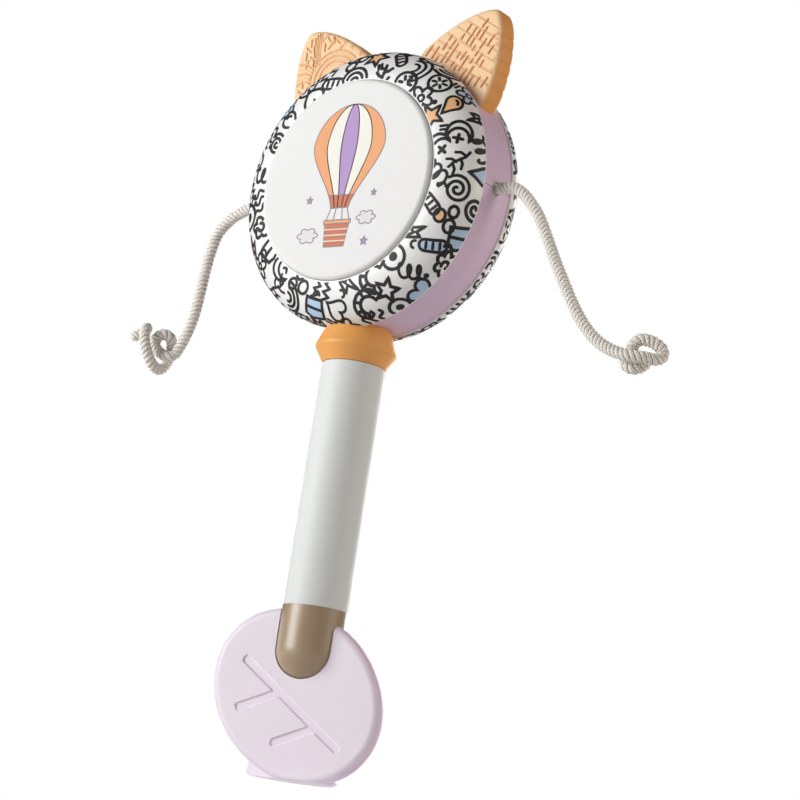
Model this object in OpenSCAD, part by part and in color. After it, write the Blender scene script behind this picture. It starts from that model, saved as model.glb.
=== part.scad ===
// Pellet drum rattle: a two-faced drum with ears on a stick handle, two knotted rope strikers
// and a leaf plate with a half-round foot behind it. Millimetres, +Z up, origin on the floor
// under the handle axis, drum faces along -Y (front) and +Y (rear).

/* [Drum] */
// Outer diameter of the band round the drum
band_d = 90; // [84:1:110]
// Width of the band between the two shells
band_w = 14.4; // [13:0.2:20]
// Wall of the band
band_wall = 2.6; // [2:0.1:3.5]
// How far the shell lip stands proud of the band
shell_proud = 0.6; // [0.2:0.1:1.2]
// Depth of each shell from the band to the skin seat
shell_depth = 10.6; // [9:0.2:16]
// Wall of each shell
shell_wall = 2.2; // [1.6:0.1:3]
// Gap between the shell edge and the band half seam
seam_gap = 0.2; // [0.1:0.05:0.4]

/* [Skins] */
// Diameter of each drum skin plate
skin_d = 66; // [58:1:72]
// Thickness of the skin plate
skin_t = 1.8; // [1.2:0.1:3]
// How far the skin stands proud of its shell
skin_proud = 1.5; // [0.8:0.1:3]
// Rounding of the skin rim
skin_round = 1.4; // [0.6:0.1:1.6]
// Height of the rim that the skin rests on
skin_rim = 0.8; // [0.5:0.1:1.5]
// Gap round the skin in its seat
skin_gap = 0.2; // [0.1:0.05:0.4]
// Width of the seat flange under the skin
flange_w = 9.5; // [9:0.5:14]

/* [Shell screws] */
// Number of screws that join the shells
screw_count = 3; // [2:1:6]
// Shank diameter of the screw
screw_d = 2.6; // [2:0.1:3]
// Head diameter of the screw
screw_head_d = 4.6; // [4:0.1:5]
// Depth of the head recess
screw_head_h = 1; // [0.6:0.1:1.2]
// Thread length in the front post
screw_bite = 8; // [5:0.5:10]
// Diameter of the screw posts
post_d = 6.4; // [6:0.1:7]

/* [Ears] */
// Height of the ear above the band
ear_h = 24.8; // [16:0.2:30]
// Width of the ear at the band
ear_w = 33.8; // [24:0.2:36]
// Thickness of the ear
ear_t = 8; // [6:0.2:10]
// Rounding of the ear edge
ear_round = 2.4; // [1:0.1:2.8]
// Angle of each ear from the vertical
ear_angle = 33; // [28:1:45]
// Width of the tongue that plugs into the band
tongue_w = 14; // [8:0.5:20]
// Thickness of the tongue
tongue_t = 4; // [3:0.2:5]

/* [Handle] */
// Outer diameter of the handle tube
tube_d = 20; // [18:0.5:26]
// Wall of the handle tube
tube_wall = 2.5; // [2:0.1:3.5]
// Length of the handle tube
tube_len = 77.4; // [50:0.2:120]
// Rounding of the tube's upper edge
tube_round = 0.7; // [0.3:0.1:1.5]
// Largest diameter of the collar
collar_d = 26; // [24:0.5:32]
// Height of the collar between tube and band
collar_h = 10.9; // [8:0.1:16]
// Height of the widest line of the collar above the tube
collar_bead_z = 5.1; // [3.5:0.1:5.5]
// Rounding of the widest line of the collar
collar_round = 1.6; // [0.8:0.1:2]
// How far the upper cone of the collar runs on past the lowest line of the band
collar_cone = 1.5; // [0.5:0.1:3]
// Diameter of the collar where it meets the drum
collar_top_d = 20.4; // [19:0.2:22]
// Diameter of the stem that joins drum and handle
stem_d = 7.6; // [6:0.2:8.4]
// Depth of the stem in the tube
stem_depth = 20; // [12:1:30]
// Diameter of the stem head inside the drum
stem_head_d = 14; // [11:0.5:18]
// Thickness of the stem head
stem_head_h = 3; // [2:0.5:5]
// Diameter of the end cap
cap_d = 20.4; // [18.4:0.2:27]
// Length of the straight part of the end cap
cap_straight = 13.1; // [8:0.1:20]
// Depth of the end cap spigot in the tube
spigot_depth = 14; // [8:1:25]
// Radial clearance of plugs in their bores
plug_gap = 0.05; // [0.02:0.01:0.1]

/* [Leaf foot] */
// Length of the leaf plate along its main vein
leaf_len = 59.6; // [52:0.2:80]
// Width of the leaf plate across its main vein
leaf_wide = 49; // [42:0.2:64]
// Thickness of the leaf plate
leaf_t = 6.4; // [5:0.2:8]
// Rounding of the leaf edge
leaf_round = 2.4; // [0.8:0.1:2.4]
// Tilt of the main vein from the horizontal
leaf_tilt = 35.5; // [30:0.5:45]
// Sideways shift of the leaf from the handle axis
leaf_shift = 0.4; // [0:0.1:3]
// Depth that the floor cuts off the leaf edge
foot_cut = 1.2; // [0.8:0.1:2.5]
// How far the leaf stands in front of the handle axis
leaf_forward = 2; // [0:0.1:3]
// Radius of the half-round foot behind the leaf
foot_r = 14.6; // [12:0.2:22]
// Height of the half-round foot
foot_h = 12; // [8:0.5:18]
// How far the foot narrows towards its top
foot_draft = 1.8; // [0.5:0.1:3]
// Rounding of the foot's upper edge
foot_round = 1.6; // [0.6:0.1:2.4]
// Chamfer under the foot
foot_edge = 0.9; // [0.4:0.1:1.5]
// Height of the end cap tip above the floor
tip_z = 29; // [26:0.1:45]
// Turn of the foot about the handle axis
foot_turn = 17; // [-45:1:45]
// Clearance of the leaf round the end cap
leaf_gap = 0.1; // [0.05:0.05:0.3]
// Width of the vein grooves
vein_w = 2.7; // [1.5:0.1:4]
// Depth of the vein grooves
vein_depth = 0.7; // [0.3:0.1:1.2]
// How far the main vein lies below the leaf's long axis
vein_low = 2.7; // [0:0.1:3.5]

/* [Ropes] */
// Diameter of the rope
rope_d = 3.8; // [3:0.1:4.4]
// Clearance of the rope in its hole
rope_gap = 0.3; // [0.2:0.05:0.6]
// Diameter of the stop knot inside the drum
stop_d = 8; // [6:0.5:10]

/* [Hidden] */
$fn = 96;
fine_fn = 180;
small_fn = 32;
eps = 0.01;
// How far a cut runs past the face it opens
over = 1;
// Heights along the handle, from the floor up
dome_z = tip_z + cap_d / 2;
tube_z = dome_z + cap_straight;
collar_z = tube_z + tube_len;
drum_z = collar_z + collar_h + band_d / 2;
// Drum radii and depths, with depth counted outwards from the middle plane
band_r = band_d / 2;
band_in = band_r - band_wall;
lip_r = band_r + shell_proud;
seat_r = skin_d / 2 + skin_gap;
shell_from = band_w / 2;
seat_depth = shell_from + shell_depth;
skin_top = seat_depth + skin_proud;
skin_base = skin_top - skin_t - skin_rim;
flange_in = seat_r - flange_w;
post_at = seat_r - flange_w / 2;
post_foot = seam_gap / 2;
skirt_len = 2.4;
skirt_wall = 1.2;
skirt_gap = 0.1;
skin_rim_w = 2.5;
skirt_root = 2;
flange_join = 1;
arc_steps = 14;
round_steps = 6;
// Screws: thread in the front post, clearance in the rear post and under the head
thread_depth = 0.3;
screw_gap = 0.2;
tip_room = 0.5;
head_base = skin_base - screw_head_h - screw_gap;
// Rope hole, swing pivot and stop knot
rope_r = rope_d / 2;
hole_r = rope_r + rope_gap;
pivot_sink = 0.1;
pivot_x = band_r + rope_r - pivot_sink;
stub_end = pivot_x - rope_r - rope_gap;
// Stem seat inside the band and bores of the handle
bore_r = tube_d / 2 - tube_wall;
plug_r = bore_r - plug_gap;
pad_rise = 4;
pad_top = drum_z - band_in + pad_rise;
stem_r = stem_d / 2;
neck_bore = stem_r + plug_gap;
socket_room = 2;
socket_len = stem_depth + socket_room;
pad_margin = 3;
pad_w = stem_head_d + pad_margin;
pad_gap = 0.2;
pad_depth = band_w - 2 * (skirt_len + pad_gap);
// Collar: how far its lower edge stands outside the tube and its top runs into the drum before the cut
collar_lap = 0.1;
collar_run = 4;
// Ear outline, half-width at a height: w * (1 - (q / h) ^ swell) ^ taper
ear_swell = 1.3;
ear_taper = 0.65;
ear_sink = 3;
ear_steps = 14;
tongue_reach = 2;
tongue_len = band_wall + tongue_reach;
tongue_gap = 0.1;
// Leaf plate outline
leaf_a = leaf_len / 2;
leaf_b = leaf_wide / 2;
leaf_drop = norm([leaf_a * sin(leaf_tilt), leaf_b * cos(leaf_tilt)]);
leaf_z = leaf_drop - foot_cut;
leaf_steps = 64;
vein_from = -0.65;
vein_to = 0.72;
side_vein_at = [-0.14, 0.41];
side_vein_len = 13.8;
side_vein_turn = 60;
// Striker routes as [outwards, back, up] from the pivot: the rope, then the loop of its knot
right_route = [[0, 0, 0], [4.4, 0, 0], [8, 0, -1.8], [11.8, 0, -5.2], [16, 0, -10.4], [20.2, 0, -17.6],
               [24.2, 0, -24.8], [28.2, 0, -31.4], [32.2, 0, -37.8], [36.8, 0, -44], [41.6, 0, -48.8],
               [47, 0, -52.2], [52.2, 0, -54]];
right_loop = [[55.2, 0.8, -54.4], [57.8, 2.6, -54.4], [60, 5.2, -54.4], [61, 7.4, -53.2], [60.8, 7.8, -51.2],
              [59.4, 6.8, -49.6], [57.2, 5.4, -48.6], [54.8, 4.2, -48.6], [52.8, 4, -50.4], [52, 4.6, -52.8],
              [51, 4, -55.6], [53, 4.6, -57], [54.6, 6.2, -56.4], [55, 8.4, -54.6]];
left_route = [[0, 0, 0], [4.4, 0, 0], [9.4, 0, -0.8], [15.6, 0, -3.6], [20.4, 0, -8.4], [22.4, 0, -15],
              [23.4, 0, -22], [24, 0, -29], [24.8, 0, -36], [26.4, 0, -42], [28.6, 0, -46.8],
              [30.8, 0, -50]];
left_loop = [[32.6, -1.4, -51], [35.8, -1.8, -49.8], [38, -2.4, -47.4], [37.4, -2.8, -45], [35, -2.2, -43.6],
             [33.4, -0.4, -44.6], [34, 1.4, -46.8], [35.4, 2.8, -49.8], [36.2, 2, -53.2], [36, -1, -55.4],
             [35.8, -4.8, -54.4], [36.2, -7.6, -51], [37, -8.8, -47.2], [38, -8.2, -44], [39.4, -6.2, -42.6],
             [41.6, -5.6, -44], [43.2, -6.8, -45.2]];
rope_sides = 10;
rope_rings = 3;
rope_cap = [75, 50, 25];
side_hint = [0, 1, 0.01];

// Vector helpers
function unit(v) = v / norm(v);
function square_to(v, t) = unit(v - (v * t) * t);

// Points of a quarter ellipse from the rim (0 degrees) to the top (90 degrees)
function quarter(cx, cy, a, b, steps) =
    [for (i = [0:steps]) [cx + a * cos(90 * i / steps), cy + b * sin(90 * i / steps)]];

// Reversed copy of a list
function flip(list) = [for (i = [len(list) - 1:-1:0]) list[i]];

// Catmull-Rom point between p1 and p2
function curve_point(p0, p1, p2, p3, t) =
    0.5 * (2 * p1 + (p2 - p0) * t + (2 * p0 - 5 * p1 + 4 * p2 - p3) * t * t
           + (3 * p1 - p0 - 3 * p2 + p3) * t * t * t);

// Smooth route through hand-chosen points
function smooth(route, per) =
    let (n = len(route) - 1)
    concat([for (i = [0:n - 1], k = [0:per - 1])
               curve_point(route[max(i - 1, 0)], route[i], route[i + 1], route[min(i + 2, n)], k / per)],
           [route[n]]);

// Direction of travel at each point of a path
function headings(path) =
    let (n = len(path) - 1)
    [for (i = [0:n]) unit(path[min(i + 1, n)] - path[max(i - 1, 0)])];

// Side vectors carried along a path without twist
function carried(dirs, start) =
    [for (i = 0, s = square_to(start, dirs[0]); i < len(dirs);
          i = i + 1, s = square_to(s, dirs[min(i, len(dirs) - 1)])) s];

// Round tube through rings, each [place, direction, side, radius]
module tube_along(rings, sides) {
    n = len(rings);
    points = [for (ring = rings, k = [0:sides - 1])
                 ring[0] + ring[3] * (cos(360 * k / sides) * ring[2]
                                      + sin(360 * k / sides) * cross(ring[1], ring[2]))];
    walls = [for (i = [0:n - 2], k = [0:sides - 1], half = [0, 1])
                let (a = i * sides + k, b = i * sides + (k + 1) % sides)
                half == 0 ? [a, a + sides, b] : [b, a + sides, b + sides]];
    ends = [[for (k = [0:sides - 1]) k], [for (k = [sides - 1:-1:0]) (n - 1) * sides + k]];
    polyhedron(points, concat(walls, ends));
}

// Flat pad with a rounded edge: an outline inset in steps towards both faces
module round_pad(outline, thick, round, steps = 4) {
    n = len(outline);
    mid = thick / 2 - round;
    function level(i) = let (a = 90 * i / steps) [-mid - round * cos(a), round * (1 - sin(a))];
    low = [for (i = [0:steps]) level(i)];
    levels = concat(low, [for (l = flip(low)) [-l[0], l[1]]]);
    function inset(i, d) =
        let (along = unit(outline[(i + 1) % n] - outline[(i + n - 1) % n]))
        outline[i] + d * [-along[1], along[0]];
    points = [for (l = levels, i = [0:n - 1]) let (p = inset(i, l[1])) [p[0], p[1], l[0]]];
    rings = len(levels);
    walls = [for (j = [0:rings - 2], i = [0:n - 1], half = [0, 1])
                let (a = j * n + i, b = j * n + (i + 1) % n)
                half == 0 ? [a, a + n, b] : [b, a + n, b + n]];
    ends = [[for (i = [0:n - 1]) i], [for (i = [n - 1:-1:0]) (rings - 1) * n + i]];
    polyhedron(points, concat(walls, ends));
}

// Places a shape drawn round +Z on the drum axis: +Z becomes -Y (front) or +Y (rear)
module on_drum(front = true) {
    translate([0, 0, drum_z]) rotate([front ? 90 : -90, 0, 0]) children();
}

// Places a shape drawn in the leaf plane upright on the handle axis
module on_foot() {
    rotate([0, 0, foot_turn]) children();
}

// Outer form of the drum, grown by a gap, used to seat what touches it
module drum_form(gap) {
    half = concat([[band_r + gap, shell_from - gap]],
                  quarter(seat_r, shell_from, lip_r - seat_r + gap, shell_depth + gap, arc_steps),
                  [[0, seat_depth + gap]]);
    other = [for (p = flip(half)) [p[0], -p[1]]];
    on_drum() rotate_extrude() polygon(concat(half, other));
}

// Angle of each screw post round the drum axis
function post_angle(i) = 90 + 360 * i / screw_count;

// Printed half shell with skirt, skin seat and screw posts
module half_shell(front) {
    outer = quarter(seat_r, shell_from, lip_r - seat_r, shell_depth, arc_steps);
    inner = quarter(seat_r, shell_from, lip_r - seat_r - shell_wall, shell_depth - shell_wall, arc_steps);
    bore = screw_d / 2 + (front ? -thread_depth : screw_gap);
    skirt_r = band_in - skirt_gap;
    skirt_in = skirt_r - skirt_wall;
    skirt_out = lip_r - shell_wall + eps;
    skirt_low = shell_from - skirt_len;
    skirt_top = shell_from + skirt_root;
    flange_low = skin_base - shell_wall;
    flange_out = seat_r + flange_join;
    on_drum(front) difference() {
        union() {
            rotate_extrude() polygon(concat(outer, flip(inner)));
            rotate_extrude() polygon([[skirt_in, skirt_low], [skirt_r, skirt_low],
                                      [skirt_r, shell_from + eps], [skirt_out, shell_from + eps],
                                      [skirt_out, skirt_top], [skirt_in, skirt_top]]);
            rotate_extrude() polygon([[flange_in, flange_low], [flange_out, flange_low],
                                      [flange_out, skin_base], [flange_in, skin_base]]);
            for (i = [0:screw_count - 1])
                rotate([0, 0, (front ? 1 : -1) * post_angle(i)])
                    translate([post_at, 0, post_foot])
                        cylinder(d = post_d, h = skin_base - post_foot - eps);
        }
        for (i = [0:screw_count - 1])
            rotate([0, 0, (front ? 1 : -1) * post_angle(i)]) translate([post_at, 0, 0]) {
                if (front) {
                    translate([0, 0, -over]) cylinder(r = bore, h = screw_bite + tip_room + over);
                } else {
                    translate([0, 0, -over]) cylinder(r = bore, h = seat_depth);
                    translate([0, 0, head_base]) cylinder(d = screw_head_d + 2 * screw_gap, h = seat_depth);
                }
            }
    }
}

// Full band ring with rope holes and a pad for the stem, before it is split
module band_ring() {
    difference() {
        union() {
            on_drum() translate([0, 0, -band_w / 2]) difference() {
                cylinder(r = band_r, h = band_w, $fn = fine_fn);
                translate([0, 0, -over]) cylinder(r = band_in, h = band_w + 2 * over, $fn = fine_fn);
            }
            intersection() {
                translate([-pad_w / 2, -pad_depth / 2, drum_z - band_r])
                    cube([pad_w, pad_depth, pad_top - drum_z + band_r]);
                on_drum() cylinder(r = band_in + band_wall / 2, h = band_w, center = true, $fn = fine_fn);
            }
        }
        translate([0, 0, drum_z]) rotate([0, 90, 0])
            cylinder(r = hole_r, h = band_d + 2 * over, center = true);
        translate([0, 0, drum_z - band_r - over]) cylinder(r = neck_bore, h = band_r);
    }
}

// Half of the space, above or below the rope holes
module half_space(upper) {
    size = 2 * band_d;
    translate([-size / 2, -size / 2, drum_z + (upper ? seam_gap / 2 : -seam_gap / 2 - size)]) cube(size);
}

// Ear outline in its own plane: +Y points away from the drum, starting below the band surface
function ear_half(q) = ear_w / 2 * pow(1 - pow(max(q, 0) / ear_h, ear_swell), ear_taper);
function ear_outline() =
    let (qs = concat([-ear_sink], [for (i = [0:ear_steps]) ear_h * sin(90 * i / ear_steps)]),
         side = [for (q = qs) [ear_half(q), band_r + q]])
    concat(side, [for (i = [len(side) - 2:-1:0]) [-side[i][0], side[i][1]]]);

// Tongue of an ear, grown by a gap for its slot in the band
module ear_tongue(gap) {
    translate([-tongue_w / 2 - gap, band_r - tongue_len - gap, -tongue_t / 2 - gap])
        cube([tongue_w + 2 * gap, tongue_len + ear_sink + gap, tongue_t + 2 * gap]);
}

// Turns an ear from its own plane to its place on the drum, side is -1 (left) or 1 (right)
module at_ear(side) {
    translate([0, 0, drum_z]) rotate([0, side * ear_angle, 0]) rotate([90, 0, 0]) children();
}

module ear(side) {
    at_ear(side) {
        difference() {
            round_pad(ear_outline(), ear_t, ear_round);
            cylinder(r = band_r, h = ear_t + 2 * over, center = true, $fn = fine_fn);
        }
        ear_tongue(0);
    }
}

// End cap body below the tube, grown by a gap, used to cut the leaf slots
module cap_form(gap) {
    translate([0, 0, dome_z]) {
        sphere(d = cap_d + 2 * gap);
        cylinder(d = cap_d + 2 * gap, h = cap_straight + gap);
    }
}

// Straight groove with round ends in the XY plane, from a point along an angle
module groove(from, angle, length) {
    translate(from) rotate(angle) {
        circle(d = vein_w, $fn = small_fn);
        translate([0, -vein_w / 2]) square([length, vein_w]);
        translate([length, 0]) circle(d = vein_w, $fn = small_fn);
    }
}

// Main vein with two side veins, in the leaf's own axes
module veins() {
    groove([vein_from * leaf_a, -vein_low], 0, (vein_to - vein_from) * leaf_a);
    for (at = side_vein_at) groove([at * leaf_a, -vein_low], -180 + side_vein_turn, side_vein_len);
}

// Leaf plate that clips round the end cap, upright, vein side facing -Y before the turn
module leaf_form() {
    outline = [for (i = [0:leaf_steps - 1])
                  let (a = 360 * i / leaf_steps) [leaf_a * cos(a), leaf_b * sin(a)]];
    difference() {
        translate([-leaf_shift, -leaf_forward, leaf_z]) rotate([90, 0, 0]) rotate(-leaf_tilt) difference() {
            round_pad(outline, leaf_t, leaf_round);
            translate([0, 0, leaf_t / 2 - vein_depth]) linear_extrude(vein_depth + over) veins();
        }
        cap_form(leaf_gap);
        translate([-leaf_len, -leaf_t - leaf_forward, -leaf_len]) cube([2 * leaf_len, 2 * leaf_t, leaf_len]);
    }
}

// Path of a whole striker, side is -1 (left) or 1 (right)
function striker_path(route, loop, side) =
    smooth([for (p = concat(route, loop)) [side * (pivot_x + p[0]), p[1], drum_z + p[2]]], rope_rings);

// Rings that round off an end of the rope, away from its path
function cap_rings(place, ahead, along, up) =
    [for (a = rope_cap) [place + rope_r * sin(a) * ahead, along, up, rope_r * cos(a)]];

// Least distance between stretches of a path that aren't neighbours, less the rope's diameter
function self_gap(path) =
    let (skip = 9)
    min([for (i = [0:len(path) - 1 - skip], j = [i + skip:len(path) - 1]) norm(path[i] - path[j])]) - rope_d;

// The rope of a striker, or the knot that carries on from it
module striker(route, loop, side, knotted) {
    path = striker_path(route, loop, side);
    dirs = headings(path);
    ups = carried(dirs, side_hint);
    split = (len(route) - 1) * rope_rings;
    last = len(path) - 1;
    body = [for (i = knotted ? [split:last] : [0:split]) [path[i], dirs[i], ups[i], rope_r]];
    if (knotted) echo(knot_gap = self_gap(path));
    color("Cornsilk")
        tube_along(knotted ? concat(body, flip(cap_rings(path[last], dirs[last], dirs[last], ups[last])))
                           : concat(cap_rings(path[0], -dirs[0], dirs[0], ups[0]), body), rope_sides);
}

// Inner end of a rope: the stretch in the band hole and the stop knot behind the wall
module rope_anchor(side) {
    color("Cornsilk") translate([0, 0, drum_z]) rotate([0, side * 90, 0]) {
        translate([0, 0, band_in - rope_r]) cylinder(r = rope_r, h = stub_end - band_in + rope_r);
        translate([0, 0, band_in - rope_gap - stop_d / 2]) sphere(d = stop_d);
    }
}

module front_shell() {
    color("WhiteSmoke") half_shell(true);
}

module rear_shell() {
    color("WhiteSmoke") half_shell(false);
}

module upper_band() {
    color("Thistle") difference() {
        intersection() {
            band_ring();
            half_space(true);
        }
        for (side = [-1, 1]) at_ear(side) ear_tongue(tongue_gap);
    }
}

module lower_band() {
    color("Thistle") intersection() {
        band_ring();
        half_space(false);
    }
}

module skin(front) {
    r = skin_d / 2;
    rim_in = r - skin_rim_w;
    under = skin_top - skin_t;
    profile = concat([[0, under], [rim_in, under], [rim_in, skin_base], [r, skin_base]],
                     quarter(r - skin_round, skin_top - skin_round, skin_round, skin_round, round_steps),
                     [[0, skin_top]]);
    color("White") on_drum(front) rotate_extrude() polygon(profile);
}

module front_skin() {
    skin(true);
}

module rear_skin() {
    skin(false);
}

module left_ear() {
    color("SandyBrown") ear(-1);
}

module right_ear() {
    color("SandyBrown") ear(1);
}

module shell_screws() {
    length = head_base + screw_bite;
    core_r = screw_d / 2 - thread_depth - plug_gap;
    color("Silver") on_drum(false)
        for (i = [0:screw_count - 1]) rotate([0, 0, -post_angle(i)]) translate([post_at, 0, head_base]) {
            cylinder(d = screw_head_d, h = screw_head_h);
            translate([0, 0, -length]) cylinder(r = core_r, h = length + eps);
        }
}

module neck_stem() {
    color("White") {
        translate([0, 0, collar_z - stem_depth])
            cylinder(r = stem_r, h = pad_top - collar_z + stem_depth + eps);
        translate([0, 0, pad_top]) cylinder(d = stem_head_d, h = stem_head_h);
    }
}

module collar() {
    foot = tube_d / 2 + collar_lap;
    top = collar_top_d / 2;
    end_z = collar_h + collar_run;
    edge_r = collar_d / 2 - collar_round;
    edge = [for (a = [-30:10:30]) [edge_r + collar_round * cos(a), collar_bead_z + collar_round * sin(a)]];
    profile = concat([[neck_bore, 0], [foot, 0]], edge,
                     [[top, collar_h + collar_cone], [top, end_z], [neck_bore, end_z]]);
    color("SandyBrown") difference() {
        translate([0, 0, collar_z]) rotate_extrude() polygon(profile);
        drum_form(plug_gap);
    }
}

module handle_tube() {
    outer = tube_d / 2;
    step_z = tube_len - socket_len;
    profile = concat([[bore_r, 0], [outer, 0]],
                     quarter(outer - tube_round, tube_len - tube_round, tube_round, tube_round, round_steps),
                     [[neck_bore, tube_len], [neck_bore, step_z], [bore_r, step_z]]);
    color("WhiteSmoke") translate([0, 0, tube_z]) rotate_extrude() polygon(profile);
}

module end_cap() {
    color("RosyBrown") {
        cap_form(0);
        translate([0, 0, tube_z - eps]) cylinder(r = plug_r, h = spigot_depth);
    }
}

module leaf_plate() {
    color("Lavender") on_foot() leaf_form();
}

// Half-round foot with drafted sides and rounded edges, flat against the leaf
module rear_foot() {
    top_r = foot_r - foot_draft;
    profile = concat([[0, 0], [foot_r - foot_edge, 0], [foot_r, foot_edge]],
                     quarter(top_r - foot_round, foot_h - foot_round, foot_round, foot_round, round_steps),
                     [[0, foot_h]]);
    color("Lavender") on_foot() translate([-leaf_shift, leaf_t / 2 - leaf_forward, 0]) intersection() {
        rotate_extrude() polygon(profile);
        translate([-foot_r, 0, 0]) cube([2 * foot_r, foot_r, foot_h]);
    }
}

module left_rope_anchor() {
    rope_anchor(-1);
}

module right_rope_anchor() {
    rope_anchor(1);
}

module left_rope() {
    striker(left_route, left_loop, -1, false);
}

module right_rope() {
    striker(right_route, right_loop, 1, false);
}

module left_knot() {
    striker(left_route, left_loop, -1, true);
}

module right_knot() {
    striker(right_route, right_loop, 1, true);
}

front_shell();
rear_shell();
upper_band();
lower_band();
front_skin();
rear_skin();
left_ear();
right_ear();
shell_screws();
neck_stem();
collar();
handle_tube();
end_cap();
leaf_plate();
rear_foot();
left_rope_anchor();
right_rope_anchor();
left_rope();
right_rope();
left_knot();
right_knot();
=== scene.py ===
"""Pellet drum rattle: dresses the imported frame. Metres, +Z up, drum front along -Y."""
import logging
import math
import random
from dataclasses import dataclass, field, replace
from enum import Enum, member
from functools import cache
from typing import Callable, Sequence

import bmesh
import bpy
import numpy as np
from mathutils import Matrix, Vector
from mathutils.geometry import tessellate_polygon


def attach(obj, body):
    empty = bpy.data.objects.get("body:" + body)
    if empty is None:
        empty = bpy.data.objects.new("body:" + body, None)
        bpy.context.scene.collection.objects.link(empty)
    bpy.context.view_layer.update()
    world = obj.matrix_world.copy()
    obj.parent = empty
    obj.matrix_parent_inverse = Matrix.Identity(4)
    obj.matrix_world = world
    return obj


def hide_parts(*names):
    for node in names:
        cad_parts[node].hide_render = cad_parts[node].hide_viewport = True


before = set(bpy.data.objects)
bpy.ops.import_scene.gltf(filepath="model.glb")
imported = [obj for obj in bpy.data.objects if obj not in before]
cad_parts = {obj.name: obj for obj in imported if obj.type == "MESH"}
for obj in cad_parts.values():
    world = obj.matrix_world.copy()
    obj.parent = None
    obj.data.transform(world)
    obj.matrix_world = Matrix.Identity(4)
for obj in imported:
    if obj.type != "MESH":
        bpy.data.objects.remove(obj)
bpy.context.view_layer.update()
log = logging.getLogger("rattle")

MM = 0.001
DRUM_BODY = "drum_and_handle"
Point2 = tuple[float, float]
Point3 = tuple[float, float, float]
Lines2 = list[list[Point2]]
InkRow = tuple[np.ndarray, np.ndarray]
Colour = tuple[float, float, float, float]


def tone(red: int, green: int, blue: int) -> Colour:
    """Linear colour of a screen colour.

    Args:
        red: Red, 0 to 255.
        green: Green, 0 to 255.
        blue: Blue, 0 to 255.

    Returns:
        Linear red, green, blue and an alpha of 1.
    """
    def linear(value: int) -> float:
        """Linear value of one screen channel."""
        part = value / 255
        return part / 12.92 if part <= 0.04045 else ((part + 0.055) / 1.055) ** 2.4
    return (linear(red), linear(green), linear(blue), 1.0)


WHITE: Colour = (1.0, 1.0, 1.0, 1.0)


class Side(Enum):
    """Left or right of the drum as seen from its front."""
    LEFT = -1
    RIGHT = 1

    @property
    def word(self) -> str:
        """Name of the side in node names."""
        return self.name.lower()


class Face(Enum):
    """Front or rear of the drum, as the sign of its direction along Y."""
    FRONT = -1
    REAR = 1

    @property
    def word(self) -> str:
        """Name of the face in node names."""
        return self.name.lower()


@dataclass(frozen=True)
class DrumSizes:
    """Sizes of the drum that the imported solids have."""
    centre_z: float = 0.1856
    band_r: float = 0.045
    lip_r: float = 0.0456
    seat_r: float = 0.0332
    shell_from: float = 0.0072
    shell_depth: float = 0.0106
    skin_top: float = 0.0193

    @property
    def shell_wide(self) -> float:
        """Width of a shell from its lip to the skin's seat."""
        return self.lip_r - self.seat_r


DRUM = DrumSizes()


class NodeSheet:
    """Adds nodes to a tree and links them."""

    def __init__(self, tree: bpy.types.NodeTree) -> None:
        """Keeps the tree to work on."""
        self.tree = tree

    def add(self, kind: str, inputs: dict | None = None, **settings: object) -> bpy.types.Node:
        """Adds one node.

        Args:
            kind: Blender's name of the node type.
            inputs: Values or sockets by the input's name or number.
            settings: Properties of the node.

        Returns:
            The new node.
        """
        node = self.tree.nodes.new(kind)
        for name, value in settings.items():
            setattr(node, name, value)
        self.feed(node, inputs or {})
        return node

    def feed(self, node: bpy.types.Node, inputs: dict) -> None:
        """Sets a node's inputs.

        Args:
            node: The node.
            inputs: Values or sockets by the input's name or number.
        """
        for key, value in inputs.items():
            if isinstance(value, bpy.types.NodeSocket):
                self.tree.links.new(value, node.inputs[key])
            else:
                node.inputs[key].default_value = value

    def math(self, operation: str, first: object, second: object = 0.0) -> bpy.types.NodeSocket:
        """Adds a Math node.

        Args:
            operation: The Math node's operation.
            first: First value or socket.
            second: Second value or socket.

        Returns:
            The node's output socket.
        """
        return self.add("ShaderNodeMath", {0: first, 1: second}, operation=operation).outputs[0]

    def mix(self, factor: object, first: object, second: object) -> bpy.types.NodeSocket:
        """Adds a colour Mix node.

        Args:
            factor: Share of the second colour.
            first: First colour or socket.
            second: Second colour or socket.

        Returns:
            The mixed colour's socket.
        """
        node = self.add("ShaderNodeMix", {0: factor, 6: first, 7: second}, data_type="RGBA")
        return node.outputs[2]


def new_group(name: str, kind: str, inputs: dict[str, str], outputs: dict[str, str]) -> NodeSheet:
    """Makes a node group with named sockets.

    Args:
        name: Name of the group.
        kind: Blender's type of node tree.
        inputs: Sort of each input by its name, such as Float.
        outputs: Sort of each output by its name.

    Returns:
        A sheet on the new group.
    """
    tree = bpy.data.node_groups.new(name, kind)
    for way, sockets in (("INPUT", inputs), ("OUTPUT", outputs)):
        for socket, sort in sockets.items():
            tree.interface.new_socket(socket, in_out=way, socket_type=f"NodeSocket{sort}")
    return NodeSheet(tree)


def new_material(name: str) -> tuple[bpy.types.Material, NodeSheet, bpy.types.Node]:
    """Makes a material.

    Args:
        name: Name of the material.

    Returns:
        The material, a sheet on its nodes and its Principled shader.
    """
    made = bpy.data.materials.new(name)
    made.use_nodes = True
    return made, NodeSheet(made.node_tree), made.node_tree.nodes["Principled BSDF"]


NOISE_MEAN = 0.5
CLOUD_DETAIL = 4.0
SMEAR_DETAIL = 3.0
SMEAR_FINER = 5.0
GRAIN_DETAIL = 5.0


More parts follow.
